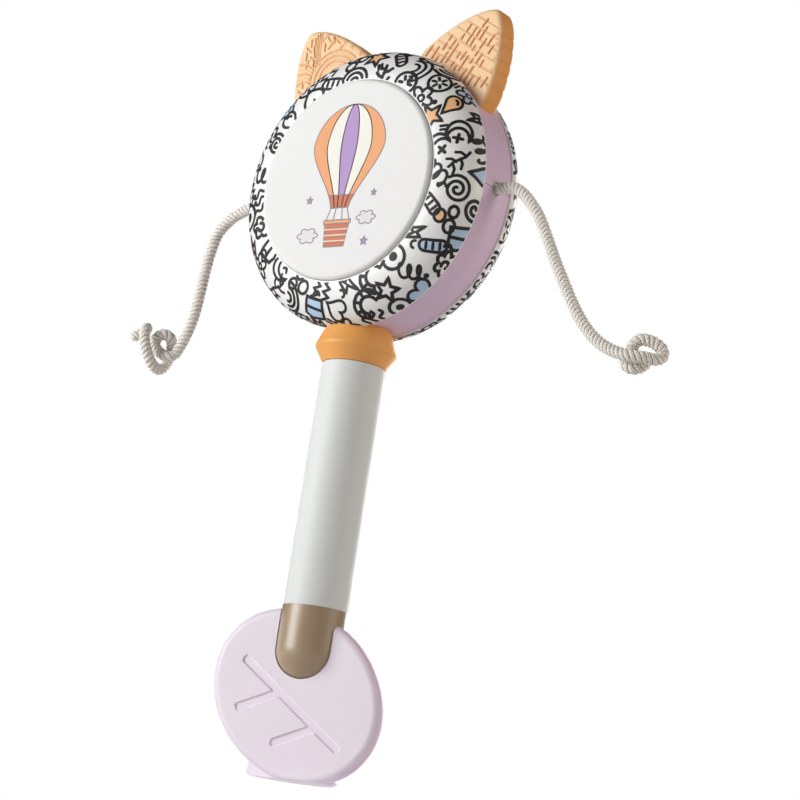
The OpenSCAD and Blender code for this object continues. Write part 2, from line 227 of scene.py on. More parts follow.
@cache
def mottle_group() -> bpy.types.NodeTree:
    """Group for the faint cloudiness of moulded plastic and silicone.

    Returns:
        A group with a tinted colour and a varied roughness.
    """
    sheet = new_group("moulded_mottle", "ShaderNodeTree",
                      {"Tint": "Color", "Scale": "Float", "Amount": "Float",
                       "Roughness": "Float", "Spread": "Float"},
                      {"Color": "Color", "Roughness": "Float"})
    inp = sheet.add("NodeGroupInput").outputs
    place = sheet.add("ShaderNodeTexCoord").outputs["Object"]
    cloud = sheet.add("ShaderNodeTexNoise", {"Vector": place, "Scale": inp["Scale"],
                                             "Detail": CLOUD_DETAIL})
    swing = sheet.math("SUBTRACT", cloud.outputs[0], NOISE_MEAN)
    value = sheet.math("ADD", sheet.math("MULTIPLY", swing, inp["Amount"]), 1.0)
    colour = sheet.add("ShaderNodeHueSaturation", {"Color": inp["Tint"], "Value": value})
    fine = sheet.math("MULTIPLY", inp["Scale"], SMEAR_FINER)
    smear = sheet.add("ShaderNodeTexNoise", {"Vector": place, "Scale": fine,
                                             "Detail": SMEAR_DETAIL})
    off = sheet.math("SUBTRACT", smear.outputs[0], NOISE_MEAN)
    rough = sheet.math("ADD", inp["Roughness"], sheet.math("MULTIPLY", off, inp["Spread"]))
    sheet.add("NodeGroupOutput", {"Color": colour.outputs[0], "Roughness": rough})
    return sheet.tree


@cache
def grain_group() -> bpy.types.NodeTree:
    """Group for the fine sparked texture of a mould.

    Returns:
        A group with a height for a Bump node.
    """
    sheet = new_group("fine_grain", "ShaderNodeTree",
                      {"Scale": "Float", "Pits": "Float"}, {"Height": "Float"})
    inp = sheet.add("NodeGroupInput").outputs
    place = sheet.add("ShaderNodeTexCoord").outputs["Object"]
    noise = sheet.add("ShaderNodeTexNoise", {"Vector": place, "Scale": inp["Scale"],
                                             "Detail": GRAIN_DETAIL})
    cells = sheet.add("ShaderNodeTexVoronoi", {"Vector": place, "Scale": inp["Scale"]})
    pits = sheet.math("MULTIPLY", cells.outputs["Distance"], inp["Pits"])
    sheet.add("NodeGroupOutput", {"Height": sheet.math("ADD", noise.outputs[0], pits)})
    return sheet.tree


@dataclass(frozen=True)
class Finish:
    """A moulded finish: plastic, silicone or printed ink."""
    name: str
    tint: Colour
    roughness: float
    mottle: float = 0.04
    mottle_scale: float = 60.0
    spread: float = 0.06
    grain: float = 0.12
    grain_scale: float = 2600.0
    grain_depth: float = 0.00003
    pits: float = 0.5
    coat: float = 0.0
    coat_roughness: float = 0.1
    sheen: float = 0.0
    subsurface: float = 0.0
    glow_radius: Point3 = (1.0, 0.6, 0.4)
    glow_scale: float = 0.002
    metallic: float = 0.0
    # The two colours below are painted shade, mixed in along rounded rims and in grooves.
    painted_rim_shade: Colour | None = None
    painted_groove_shade: Colour | None = None

    @cache
    def material(self) -> bpy.types.Material:
        """Makes the finish's material once.

        Returns:
            The material.
        """
        made, sheet, shader = new_material(self.name)
        tint: object = self.tint
        # Mixes painted shade into the tint along rims and in grooves, by the rim and groove
        # attributes.
        for attribute, colour in (("rim", self.painted_rim_shade), ("groove", self.painted_groove_shade)):
            if colour:
                mask = sheet.add("ShaderNodeAttribute", attribute_name=attribute).outputs["Fac"]
                tint = sheet.mix(mask, tint, colour)
        mottle = sheet.add("ShaderNodeGroup", {
            "Tint": tint, "Scale": self.mottle_scale, "Amount": self.mottle,
            "Roughness": self.roughness, "Spread": self.spread}, node_tree=mottle_group())
        grain = sheet.add("ShaderNodeGroup", {"Scale": self.grain_scale, "Pits": self.pits},
                          node_tree=grain_group())
        bump = sheet.add("ShaderNodeBump", {"Strength": self.grain, "Distance": self.grain_depth,
                                            "Height": grain.outputs["Height"]})
        sheet.feed(shader, {
            "Base Color": mottle.outputs["Color"], "Roughness": mottle.outputs["Roughness"],
            "Normal": bump.outputs["Normal"], "Coat Weight": self.coat,
            "Coat Roughness": self.coat_roughness, "Sheen Weight": self.sheen,
            "Metallic": self.metallic})
        if self.subsurface:
            sheet.feed(shader, {"Subsurface Weight": self.subsurface,
                                "Subsurface Radius": self.glow_radius,
                                "Subsurface Scale": self.glow_scale})
        return made


@dataclass(frozen=True)
class CottonFinish:
    """Twisted cotton: pale crests, painted shade in the valleys between strands and fibres along
    the strands.
    """
    name: str = "twisted_cotton"
    crest: Colour = tone(249, 246, 239)
    # Painted shade, laid in the valleys between the strands.
    valley: Colour = tone(156, 138, 114)
    streak: Colour = tone(238, 232, 222)
    roughness: float = 0.9
    fibre_turns: float = 9.0
    fibre_run: float = 700.0
    fibre_scale: float = 1.6
    fuzz_scale: float = 5200.0
    fuzz_share: float = 0.4
    detail: float = 2.0
    dark_to: float = 0.05
    light_from: float = 0.5
    bump: float = 0.5
    bump_depth: float = 0.00006
    sheen: float = 0.3
    sheen_roughness: float = 0.5

    @cache
    def material(self) -> bpy.types.Material:
        """Makes the cotton's material once.

        Returns:
            The material.
        """
        made, sheet, shader = new_material(self.name)
        read = {name: sheet.add("ShaderNodeAttribute", attribute_name=name).outputs["Fac"]
                for name in ("ridge", "along", "around")}
        turn = sheet.math("MULTIPLY", read["around"], math.tau)
        spot = sheet.add("ShaderNodeCombineXYZ", {
            0: sheet.math("MULTIPLY", sheet.math("COSINE", turn), self.fibre_turns),
            1: sheet.math("MULTIPLY", sheet.math("SINE", turn), self.fibre_turns),
            2: sheet.math("MULTIPLY", read["along"], self.fibre_run)}).outputs[0]
        fibre = sheet.add("ShaderNodeTexNoise", {"Vector": spot, "Scale": self.fibre_scale,
                                                 "Detail": self.detail}).outputs[0]
        place = sheet.add("ShaderNodeTexCoord").outputs["Object"]
        fuzz = sheet.add("ShaderNodeTexNoise", {"Vector": place, "Scale": self.fuzz_scale,
                                                "Detail": self.detail}).outputs[0]
        worn = sheet.mix(fibre, self.crest, self.streak)
        # Darkens the valleys between strands by the ridge attribute: painted shade.
        lift = sheet.add("ShaderNodeMapRange", {0: read["ridge"], 1: self.dark_to,
                                                2: self.light_from}).outputs[0]
        colour = sheet.mix(lift, self.valley, worn)
        height = sheet.math("ADD", fibre, sheet.math("MULTIPLY", fuzz, self.fuzz_share))
        bump = sheet.add("ShaderNodeBump", {"Strength": self.bump, "Distance": self.bump_depth,
                                            "Height": height})
        sheet.feed(shader, {"Base Color": colour, "Normal": bump.outputs["Normal"],
                            "Roughness": self.roughness, "Sheen Weight": self.sheen,
                            "Sheen Roughness": self.sheen_roughness})
        return made


SHELL_WHITE = Finish("shell_white", tone(240, 240, 238), 0.45, mottle=0.03, coat=0.1)
SKIN_WHITE = Finish("skin_white", tone(233, 233, 232), 0.62, mottle=0.02)
BAND_LILAC = Finish("band_lilac", tone(222, 195, 218), 0.52, mottle=0.05, grain=0.2)
# The ear's darker orange on its rim and in its grooves is painted shade.
EAR_PEACH = Finish("ear_peach", tone(249, 208, 160), 0.58, sheen=0.15, subsurface=0.12, grain=0.2,
                   painted_rim_shade=tone(233, 161, 80), painted_groove_shade=tone(206, 134, 80))
COLLAR_ORANGE = Finish("collar_orange", tone(244, 172, 90), 0.42, subsurface=0.1, grain=0.15)
GRIP_WHITE = Finish("satin_grip", tone(227, 230, 228), 0.56, mottle=0.03, grain=0.18)
CAP_TAUPE = Finish("cap_taupe", tone(168, 144, 114), 0.4, mottle=0.06, coat=1.0,
                   coat_roughness=0.34)
# The leaf's darker lilac on its rim is painted shade.
LEAF_LILAC = Finish("leaf_lilac", tone(247, 237, 247), 0.5, mottle=0.04, grain=0.2,
                    painted_rim_shade=tone(238, 219, 239))
SCREW_STEEL = Finish("plain_steel", tone(190, 190, 192), 0.32, metallic=1.0, mottle=0.1)
ROPE_CORE = Finish("rope_core", tone(214, 208, 196), 0.9, mottle=0.2, mottle_scale=900.0, sheen=0.3)
COTTON = CottonFinish()


class Ink(Enum):
    """Inks of the prints."""
    BLACK = Finish("ink_black", tone(22, 21, 24), 0.6, mottle=0.1)
    SKY = Finish("ink_sky", tone(183, 208, 232), 0.6)
    APRICOT = Finish("ink_apricot", tone(246, 192, 138), 0.6)
    ORANGE = Finish("ink_orange", tone(238, 165, 110), 0.6)
    RUST = Finish("ink_rust", tone(200, 115, 80), 0.6)
    LILAC = Finish("ink_lilac", tone(178, 146, 200), 0.6)
    MIST = Finish("ink_mist", tone(228, 222, 226), 0.6)
    CREAM = Finish("ink_cream", tone(241, 239, 228), 0.6)
    GREY = Finish("ink_grey", tone(140, 128, 138), 0.6)


def link(name: str, data: bpy.types.ID) -> bpy.types.Object:
    """Puts a mesh, curve, lamp or camera in the scene as an object.

    Args:
        name: Name of the object.
        data: Its mesh or other data.

    Returns:
        The new object, at the origin.
    """
    piece = bpy.data.objects.new(name, data)
    bpy.context.scene.collection.objects.link(piece)
    return piece


def settle(piece: bpy.types.Object, body: str, slot: str, *nodes: str) -> bpy.types.Object:
    """Rides a piece on its body and hides the solids that it replaces.

    Args:
        piece: The finished piece.
        body: Body that carries it.
        slot: Not used.
        nodes: Solids that the piece replaces.

    Returns:
        The piece.
    """
    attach(piece, body)
    if nodes:
        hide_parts(*nodes)
    log.info("%s: %d faces on %s", piece.name, len(piece.data.polygons), body)
    return piece


def evaluated(piece: bpy.types.Object, name: str) -> bpy.types.Object:
    """Turns an object with modifiers into a plain mesh object.

    Args:
        piece: Object with its modifiers set, which is removed.
        name: Name of the new piece.

    Returns:
        The plain object.
    """
    graph = bpy.context.evaluated_depsgraph_get()
    mesh = bpy.data.meshes.new_from_object(piece.evaluated_get(graph))
    mesh.name = name
    bpy.data.objects.remove(piece)
    return link(name, mesh)


def smooth_route(route: Sequence[Point3], per: int) -> list[Vector]:
    """Smooth line through given points.

    Args:
        route: The points.
        per: Steps between two points.

    Returns:
        The points of the line.
    """
    knots = [Vector(p) for p in route]
    last = len(knots) - 1
    line: list[Vector] = []
    for i in range(last):
        a, b, c, d = (knots[max(i - 1, 0)], knots[i], knots[i + 1], knots[min(i + 2, last)])
        for k in range(per):
            t = k / per
            line.append(0.5 * (2 * b + (c - a) * t + (2 * a - 5 * b + 4 * c - d) * t * t
                               + (3 * b - a - 3 * c + d) * t ** 3))
    return line + [knots[last]]


@dataclass
class PhotoCamera:
    """Camera at the photograph's viewing angle."""
    place: Point3 = (0.4917, -0.5915, -0.0451)
    azimuth: float = 38.56
    elevation: float = -12.22
    roll: float = 8.76
    lens: float = 113.2
    sensor: float = 36.0
    nearest: float = 0.01

    def axes(self) -> tuple[Vector, Vector, Vector]:
        """Directions of the camera.

        Returns:
            Its right, up and back.
        """
        az, el, roll = (math.radians(v) for v in (self.azimuth, self.elevation, self.roll))
        flat = Vector((math.cos(az), math.sin(az), 0))
        back = Vector((math.sin(az) * math.cos(el), -math.cos(az) * math.cos(el), math.sin(el)))
        rise = back.cross(flat)
        right = flat * math.cos(roll) + rise * math.sin(roll)
        return right, rise * math.cos(roll) - flat * math.sin(roll), back

    def build(self) -> bpy.types.Object:
        """Makes the camera and gives it to the scene.

        Returns:
            The camera.
        """
        data = bpy.data.cameras.new("photo_camera")
        data.lens = self.lens
        data.sensor_width = self.sensor
        data.clip_start = self.nearest
        data.dof.use_dof = False
        camera = link("photo_camera", data)
        turn = Matrix(self.axes()).transposed().to_4x4()
        camera.matrix_world = Matrix.Translation(self.place) @ turn
        bpy.context.scene.camera = camera
        return camera


@dataclass(frozen=True)
class Lamp:
    """A square lamp, placed by the camera's right, up and back directions."""
    name: str
    at: Point3
    power: float
    size: float
    tint: Point3 = (1.0, 1.0, 1.0)


@dataclass
class Studio:
    """Pale floor, white surround and soft studio light."""
    camera: PhotoCamera
    centre: Point3 = (0.0, 0.0, 0.13)
    floor_size: float = 6.0
    floor_tint: Colour = tone(240, 240, 240)
    floor_roughness: float = 0.9
    floor_gap: float = 0.0001
    contact: float = 0.004
    fade_from: float = 0.2
    fade_to: float = 0.75
    paleness: float = 0.4
    ambient: float = 0.06
    below: float = 0.62
    lamps: tuple[Lamp, ...] = (
        Lamp("key", (-0.95, 0.45, 0.28), 10.4, 0.6),
        Lamp("fill", (1.0, 0.35, 0.28), 4.4, 0.6, (1.0, 0.9, 0.82)),
        Lamp("back", (0.45, -0.05, -0.95), 5.5, 0.5))

    def build(self) -> None:
        """Makes the floor, the world and the lamps."""
        self._floor()
        self._world()
        for lamp in self.lamps:
            self._hang(lamp)
        bpy.context.scene.view_settings.view_transform = "Standard"

    def _hang(self, lamp: Lamp) -> None:
        """Adds a lamp that faces the object.

        Args:
            lamp: The lamp.
        """
        offset = Vector()
        for way, far in zip(self.camera.axes(), lamp.at):
            offset += far * way
        data = bpy.data.lights.new(lamp.name, "AREA")
        data.energy, data.size, data.color = lamp.power, lamp.size, lamp.tint
        hung = link(lamp.name, data)
        hung.location = Vector(self.centre) + offset
        hung.rotation_euler = offset.to_track_quat("Z", "Y").to_euler()
        hung.visible_camera = False

    def _floor(self) -> None:
        """Adds the floor, white away from the object and clear to a camera below it."""
        half, low = self.floor_size / 2, -self.floor_gap
        mesh = bpy.data.meshes.new("floor")
        corners = [(x * half, y * half, low) for x, y in ((-1, -1), (1, -1), (1, 1), (-1, 1))]
        mesh.from_pydata(corners, [], [(0, 1, 2, 3)])
        floor = link("floor", mesh)
        made, sheet, shader = new_material("floor_paper")
        sheet.feed(shader, {"Base Color": self.floor_tint, "Roughness": self.floor_roughness})
        spot = sheet.add("ShaderNodeNewGeometry").outputs
        path = sheet.add("ShaderNodeLightPath").outputs
        away = sheet.add("ShaderNodeVectorMath", {0: spot["Position"]}, operation="LENGTH")
        fade = sheet.add("ShaderNodeMapRange", {0: away.outputs["Value"], 1: self.fade_from,
                                                2: self.fade_to, 3: self.paleness},
                         interpolation_type="SMOOTHSTEP").outputs[0]
        pale = sheet.add("ShaderNodeEmission", {"Color": WHITE, "Strength": 1.0}).outputs[0]
        seen = sheet.math("MULTIPLY", fade, path["Is Camera Ray"])
        paper = sheet.add("ShaderNodeMixShader", {0: seen, 1: shader.outputs[0], 2: pale})
        through = sheet.math("MULTIPLY", spot["Backfacing"], path["Is Camera Ray"])
        touching = sheet.math("LESS_THAN", path["Ray Length"], self.contact)
        clear = sheet.add("ShaderNodeBsdfTransparent").outputs[0]
        both = sheet.add("ShaderNodeMixShader", {0: sheet.math("MAXIMUM", through, touching),
                                                 1: paper.outputs[0], 2: clear}).outputs[0]
        sheet.feed(made.node_tree.nodes["Material Output"], {"Surface": both})
        mesh.materials.append(made)

    def _world(self) -> None:
        """Sets a surround that is white to the camera and gives weak light, more from below."""
        world = bpy.data.worlds.new("studio")
        bpy.context.scene.world = world
        world.use_nodes = True
        sheet = NodeSheet(world.node_tree)
        path = sheet.add("ShaderNodeLightPath").outputs
        seen = sheet.math("MAXIMUM", path["Is Camera Ray"], path["Is Transmission Ray"])
        look = sheet.add("ShaderNodeTexCoord").outputs["Generated"]
        way = sheet.add("ShaderNodeSeparateXYZ", {0: look}).outputs
        low = sheet.math("MULTIPLY", sheet.math("LESS_THAN", way["Z"], 0.0), self.below)
        level = sheet.math("MAXIMUM", seen, sheet.math("ADD", low, self.ambient))
        sheet.feed(world.node_tree.nodes["Background"], {"Color": WHITE, "Strength": level})


@dataclass
class RopeTree:
    """Geometry nodes that sweep a three-strand rope along a curve."""
    strands: int = 3
    profile_points: int = 36
    fullness: float = 0.7
    tip: float = 0.01

    def build(self) -> bpy.types.NodeTree:
        """Makes the tree.

        Returns:
            The geometry node tree.
        """
        sheet = new_group("strand_rope", "GeometryNodeTree",
                          {"Geometry": "Geometry", "Radius": "Float", "Pitch": "Float",
                           "Valley": "Float", "Step": "Float", "Finish": "Material"},
                          {"Geometry": "Geometry"})
        inp = sheet.add("NodeGroupInput").outputs
        route = sheet.add("GeometryNodeResampleCurve",
                          {"Curve": inp["Geometry"], "Length": inp["Step"]}, mode="LENGTH")
        run = sheet.add("GeometryNodeSplineParameter").outputs
        turns = sheet.math("DIVIDE", sheet.math("MULTIPLY", run["Length"], math.tau), inp["Pitch"])
        tilted = sheet.add("GeometryNodeSetCurveTilt", {"Curve": route.outputs[0], "Tilt": turns})
        noted = self._note(sheet, tilted.outputs[0], "along", run["Length"])
        whole = sheet.add("GeometryNodeSplineLength").outputs["Length"]
        to_end = sheet.math("MINIMUM", run["Length"], sheet.math("SUBTRACT", whole, run["Length"]))
        share = sheet.math("MINIMUM", sheet.math("DIVIDE", to_end, inp["Radius"]), 1.0)
        back = sheet.math("SUBTRACT", 1.0, share)
        swell = sheet.math("SUBTRACT", 1.0, sheet.math("MULTIPLY", back, back))
        size = sheet.math("SQRT", sheet.math("MAXIMUM", swell, self.tip))
        mesh = sheet.add("GeometryNodeCurveToMesh",
                         {"Curve": noted, "Profile Curve": self._profile(sheet, inp),
                          "Scale": size, "Fill Caps": True})
        soft = sheet.add("GeometryNodeSetShadeSmooth", {0: mesh.outputs[0]})
        real = sheet.add("GeometryNodeRealizeInstances", {0: soft.outputs[0]})
        done = sheet.add("GeometryNodeSetMaterial",
                         {"Geometry": real.outputs[0], "Material": inp["Finish"]})
        sheet.add("NodeGroupOutput", {0: done.outputs[0]})
        return sheet.tree

    def _profile(self, sheet: NodeSheet,
                 inp: bpy.types.bpy_prop_collection) -> bpy.types.NodeSocket:
        """Section of the rope, with a bulge for each strand.

        Args:
            sheet: The tree's sheet.
            inp: Outputs of the group input.

        Returns:
            Socket of the section curve.
        """
        circle = sheet.add("GeometryNodeCurvePrimitiveCircle", {"Resolution": self.profile_points,
                                                                "Radius": inp["Radius"]})
        around = sheet.add("GeometryNodeSplineParameter").outputs["Factor"]
        wave = sheet.math("COSINE", sheet.math("MULTIPLY", around, self.strands * math.pi))
        bulge = sheet.math("POWER", sheet.math("ABSOLUTE", wave), self.fullness)
        noted = self._note(sheet, circle.outputs["Curve"], "ridge", bulge)
        noted = self._note(sheet, noted, "around", around)
        ridge = sheet.add("GeometryNodeInputNamedAttribute", {"Name": "ridge"}, data_type="FLOAT")
        hollow = sheet.math("SUBTRACT", 1.0, ridge.outputs["Attribute"])
        dip = sheet.math("MULTIPLY", hollow, inp["Valley"])
        place = sheet.add("GeometryNodeInputPosition").outputs[0]
        scaled = sheet.add("ShaderNodeVectorMath",
                           {0: place, "Scale": sheet.math("SUBTRACT", 1.0, dip)}, operation="SCALE")
        moved = sheet.add("GeometryNodeSetPosition",
                          {"Geometry": noted, "Position": scaled.outputs[0]})
        return moved.outputs[0]

    @staticmethod
    def _note(sheet: NodeSheet, geometry: bpy.types.NodeSocket, name: str,
              value: bpy.types.NodeSocket) -> bpy.types.NodeSocket:
        """Stores a value on the points.

        Args:
            sheet: The tree's sheet.
            geometry: Curve to store it on.
            name: Name of the attribute.
            value: The value.

        Returns:
            Socket of the curve with the attribute.
        """
        return sheet.add("GeometryNodeStoreNamedAttribute",
                         {"Geometry": geometry, "Name": name, "Value": value},
                         data_type="FLOAT", domain="POINT").outputs[0]


RIGHT_ROUTE: tuple[Point3, ...] = (
    (0, 0, 0), (4.4, 0, 0), (8, 0, -1.8), (11.8, 0, -5.2), (16, 0, -10.4), (20.2, 0, -17.6),
    (24.2, 0, -24.8), (28.2, 0, -31.4), (32.2, 0, -37.8), (36.8, 0, -44), (41.6, 0, -48.8),
    (47, 0, -52.2), (52.2, 0, -54), (55.2, 0.8, -54.4), (57.8, 2.6, -54.4), (60, 5.2, -54.4),
    (61, 7.4, -53.2), (60.8, 7.8, -51.2), (59.4, 6.8, -49.6), (57.2, 5.4, -48.6),
    (54.8, 4.2, -48.6), (52.8, 4, -50.4), (52, 4.6, -52.8), (51, 4, -55.6), (53, 4.6, -57),
    (54.6, 6.2, -56.4), (55, 8.4, -54.6))
LEFT_ROUTE: tuple[Point3, ...] = (
    (0, 0, 0), (4.4, 0, 0), (9.4, 0, -0.8), (15.6, 0, -3.6), (20.4, 0, -8.4), (22.4, 0, -15),
    (23.4, 0, -22), (24, 0, -29), (24.8, 0, -36), (26.4, 0, -42), (28.6, 0, -46.8), (30.8, 0, -50),
    (32.6, -1.4, -51), (35.8, -1.8, -49.8), (38, -2.4, -47.4), (37.4, -2.8, -45), (35, -2.2, -43.6),
    (33.4, -0.4, -44.6), (34, 1.4, -46.8), (35.4, 2.8, -49.8), (36.2, 2, -53.2), (36, -1, -55.4),
    (35.8, -4.8, -54.4), (36.2, -7.6, -51), (37, -8.8, -47.2), (38, -8.2, -44), (39.4, -6.2, -42.6),
    (41.6, -5.6, -44), (43.2, -6.8, -45.2))


@dataclass
class Striker:
    """A rope with its knot, from the band's hole to its end."""
    side: Side
    route: tuple[Point3, ...]
    tree: bpy.types.NodeTree
    pivot_x: float = 0.0468
    radius: float = 0.0019
    pitch: float = 0.0044
    valley: float = 0.2
    step: float = 0.00016
    steps_between: int = 6

    def line(self) -> list[Vector]:
        """Centre line of the striker in the shared frame."""
        spots = [(self.side.value * (self.pivot_x + x * MM), y * MM, DRUM.centre_z + z * MM)
                 for x, y, z in self.route]
        return smooth_route(spots, self.steps_between)

    def build(self) -> bpy.types.Object:
        """Returns:
            The rope's piece.
        """
        line = self.line()
        first = line[0] + (line[0] - line[1]).normalized() * self.radius
        last = line[-1] + (line[-1] - line[-2]).normalized() * self.radius
        spots = [first, *line, last]
        curve = bpy.data.curves.new("route", "CURVE")
        curve.dimensions = "3D"
        spline = curve.splines.new("POLY")
        spline.points.add(len(spots) - 1)
        for point, spot in zip(spline.points, spots):
            point.co = (*spot, 1.0)
        holder = link("route", curve)
        sweep = holder.modifiers.new("rope", "NODES")
        sweep.node_group = self.tree
        values = {"Radius": self.radius, "Pitch": self.pitch, "Valley": self.valley,
                  "Step": self.step, "Finish": COTTON.material()}
        for item in self.tree.interface.items_tree:
            if item.in_out == "INPUT" and item.name in values:
                sweep[item.identifier] = values[item.name]
        name = f"{self.side.word}_striker_rope"
        piece = evaluated(holder, name)
        body = f"{self.side.word}_striker"
        settle(piece, body, "cotton_rope", f"{self.side.word}_rope", f"{self.side.word}_knot")
        return piece


@dataclass(frozen=True)
class Stroke:
    """A black line of a drawing, in its own plane. A body takes the motif's ink inside."""
    points: list[Point2]
    closed: bool = False
    fill: Ink | None = None
    body: bool = False


def polar(r: float, angle: float) -> Point2:
    """Point at a distance and an angle from the middle."""
    return (r * math.cos(angle), r * math.sin(angle))


def arc(cx: float, cy: float, r: float, start: float, end: float, steps: int = 16) -> list[Point2]:
    """Points of an arc.

    Args:
        cx: Centre across.
        cy: Centre up.
        r: Radius.
        start: First angle in degrees.
        end: Last angle in degrees.
        steps: Number of steps.

    Returns:
        The points.
    """
    angles = [math.radians(start + (end - start) * i / steps) for i in range(steps + 1)]
    return [(cx + r * math.cos(a), cy + r * math.sin(a)) for a in angles]


def ring(cx: float, cy: float, r: float, steps: int = 20) -> list[Point2]:
    """Points of a circle, without the closing point."""
    return arc(cx, cy, r, 0, 360, steps)[:-1]


def rosette(petals: int, inner: float, outer: float, steps: int = 48) -> list[Point2]:
    """Closed outline that swells once for each petal.

    Args:
        petals: Number of swells.
        inner: Smallest radius.
        outer: Largest radius.
        steps: Number of points.

    Returns:
        The points.
    """
    turns = [math.tau * i / steps for i in range(steps)]
    sizes = [inner + (outer - inner) * abs(math.cos(petals * a / 2)) for a in turns]
    return [polar(r, a) for r, a in zip(sizes, turns)]


PUFF = rosette(6, 0.72, 1.05)


def spiral_lines() -> list[Stroke]:
    """A round spiral."""
    turn = [(0.12 + 0.88 * i / 44, math.tau * 2.1 * i / 44) for i in range(45)]
    return [Stroke([polar(r, a) for r, a in turn])]


def zigzag_lines() -> list[Stroke]:
    """Two zigzags."""
    saw = [(-1 + 2 * i / 6, 0.28 if i % 2 else -0.28) for i in range(7)]
    return [Stroke([(x, y + at) for x, y in saw]) for at in (0.48, -0.48)]


def wave_lines() -> list[Stroke]:
    """Three waves."""
    xs = [-1 + 2 * i / 20 for i in range(21)]
    return [Stroke([(x, 0.2 * math.sin(6 * x) + at) for x in xs]) for at in (-0.68, 0, 0.68)]


def star_lines() -> list[Stroke]:
    """A five-pointed star."""
    tips = [(0.45 if i % 2 else 1.0, math.pi / 2 + math.tau * i / 10) for i in range(10)]
    return [Stroke([polar(r, a) for r, a in tips], True, body=True)]


def cloud_lines() -> list[Stroke]:
    """A puffed outline with a curl inside."""
    return [Stroke([(x, 0.8 * y) for x, y in PUFF], True, body=True),
            Stroke(arc(0.1, 0, 0.3, 30, 290, 12))]


def drop_lines() -> list[Stroke]:
    """A drop with a glint."""
    edge = arc(0, -0.3, 0.62, 160, 380, 18) + [(0.28, 0.45), (0, 1.0), (-0.28, 0.45)]
    return [Stroke(edge, True, body=True), Stroke(arc(0, -0.3, 0.28, 190, 280, 6))]


def sprig_lines() -> list[Stroke]:
    """A stem with leaves."""
    stem = Stroke([(0.1 * math.sin(3 * t), t) for t in (-1, -0.5, 0, 0.5, 1)])
    return [stem, *(Stroke([(0, y), (sign * 0.4, y + 0.12), (sign * 0.66, y + 0.42)])
                    for y, sign in ((-0.55, 1), (-0.1, -1), (0.3, 1), (0.62, -1)))]


def arc_lines() -> list[Stroke]:
    """Arcs inside each other."""
    return [Stroke(arc(0, -0.7, r, 0, 180, 14)) for r in (0.4, 0.85, 1.3)]


def target_lines() -> list[Stroke]:
    """A ring with a dot."""
    return [Stroke(ring(0, 0, 0.88), True, body=True),
            Stroke(ring(0, 0, 0.22, 10), True, Ink.BLACK)]


def flower_lines() -> list[Stroke]:
    """A flower."""
    return [Stroke(rosette(5, 0.5, 1.05), True, body=True), Stroke(ring(0, 0, 0.26, 12), True)]


def crescent_lines() -> list[Stroke]:
    """A crescent with a spark."""
    return [Stroke(arc(0, 0, 0.92, 60, 300, 20) + arc(0.42, 0, 0.8, 272, 88, 14), True),
            Stroke([(0.42, 0.32), (0.42, -0.32)]), Stroke([(0.12, 0), (0.74, 0)])]


def bean_lines() -> list[Stroke]:
    """A long rounded shape with bars."""
    edge = arc(-0.6, 0, 0.42, 90, 270, 10) + arc(0.6, 0, 0.42, -90, 90, 10)
    return [Stroke(edge, True, body=True),
            *(Stroke([(x, -0.2), (x, 0.2)]) for x in (-0.5, 0, 0.5))]


def wheel_lines() -> list[Stroke]:
    """A ring with spokes."""
    rays = [math.tau * i / 6 for i in range(6)]
    return [Stroke(ring(0, 0, 0.95), True), *(Stroke([polar(0.3, a), polar(0.6, a)]) for a in rays)]


def loop_lines() -> list[Stroke]:
    """A line with loops."""
    turn = [math.tau * 2.6 * i / 46 for i in range(47)]
    return [Stroke([(-1 + 2 * i / 46 + 0.3 * math.sin(a), 0.55 * math.cos(a))
                    for i, a in enumerate(turn)])]


def tile_lines() -> list[Stroke]:
    """A cut square with a cross line."""
    edge = [(-0.8, -0.7), (0.75, -0.8), (0.85, 0.5), (0.3, 0.85), (-0.75, 0.8)]
    return [Stroke(edge, True, body=True), Stroke([(-0.7, 0.1), (0.75, -0.1)])]


def ladder_lines() -> list[Stroke]:
    """A bent tube with rungs.

    Returns:
        The strokes.
    """
    bow = [math.radians(200 - 22 * i) for i in range(11)]
    near, far = ([(r * math.cos(a), r * math.sin(a) - 0.35) for a in bow] for r in (0.7, 1.2))
    rungs = [Stroke([near[i], far[i]]) for i in range(2, 10, 2)]
    return [Stroke(near + far[::-1], True), *rungs]


def heart_lines() -> list[Stroke]:
    """A heart."""
    turns = [math.tau * i / 36 for i in range(36)]
    return [Stroke([(math.sin(a) ** 3, 0.8 * math.cos(a) - 0.31 * math.cos(2 * a)
                     - 0.12 * math.cos(3 * a) - 0.06 * math.cos(4 * a)) for a in turns],
                   True, body=True)]


def bolt_lines() -> list[Stroke]:
    """A zigzag bolt."""
    edge = [(0.25, 1), (-0.6, -0.05), (-0.05, -0.02), (-0.3, -1), (0.6, 0.22), (0.08, 0.2)]
    return [Stroke(edge, True, body=True)]


def pebble_lines() -> list[Stroke]:
    """Three pebbles.

    Returns:
        The strokes, of which the last is the body.
    """
    spots = ((-0.5, -0.35, 0.46), (0.52, -0.4, 0.4), (0.05, 0.5, 0.48))
    turns = [math.tau * k / 16 for k in range(16)]
    return [Stroke([(x + r * math.cos(a), y + 0.85 * r * math.sin(a)) for a in turns], True,
                   body=(x, y, r) == spots[-1]) for x, y, r in spots]


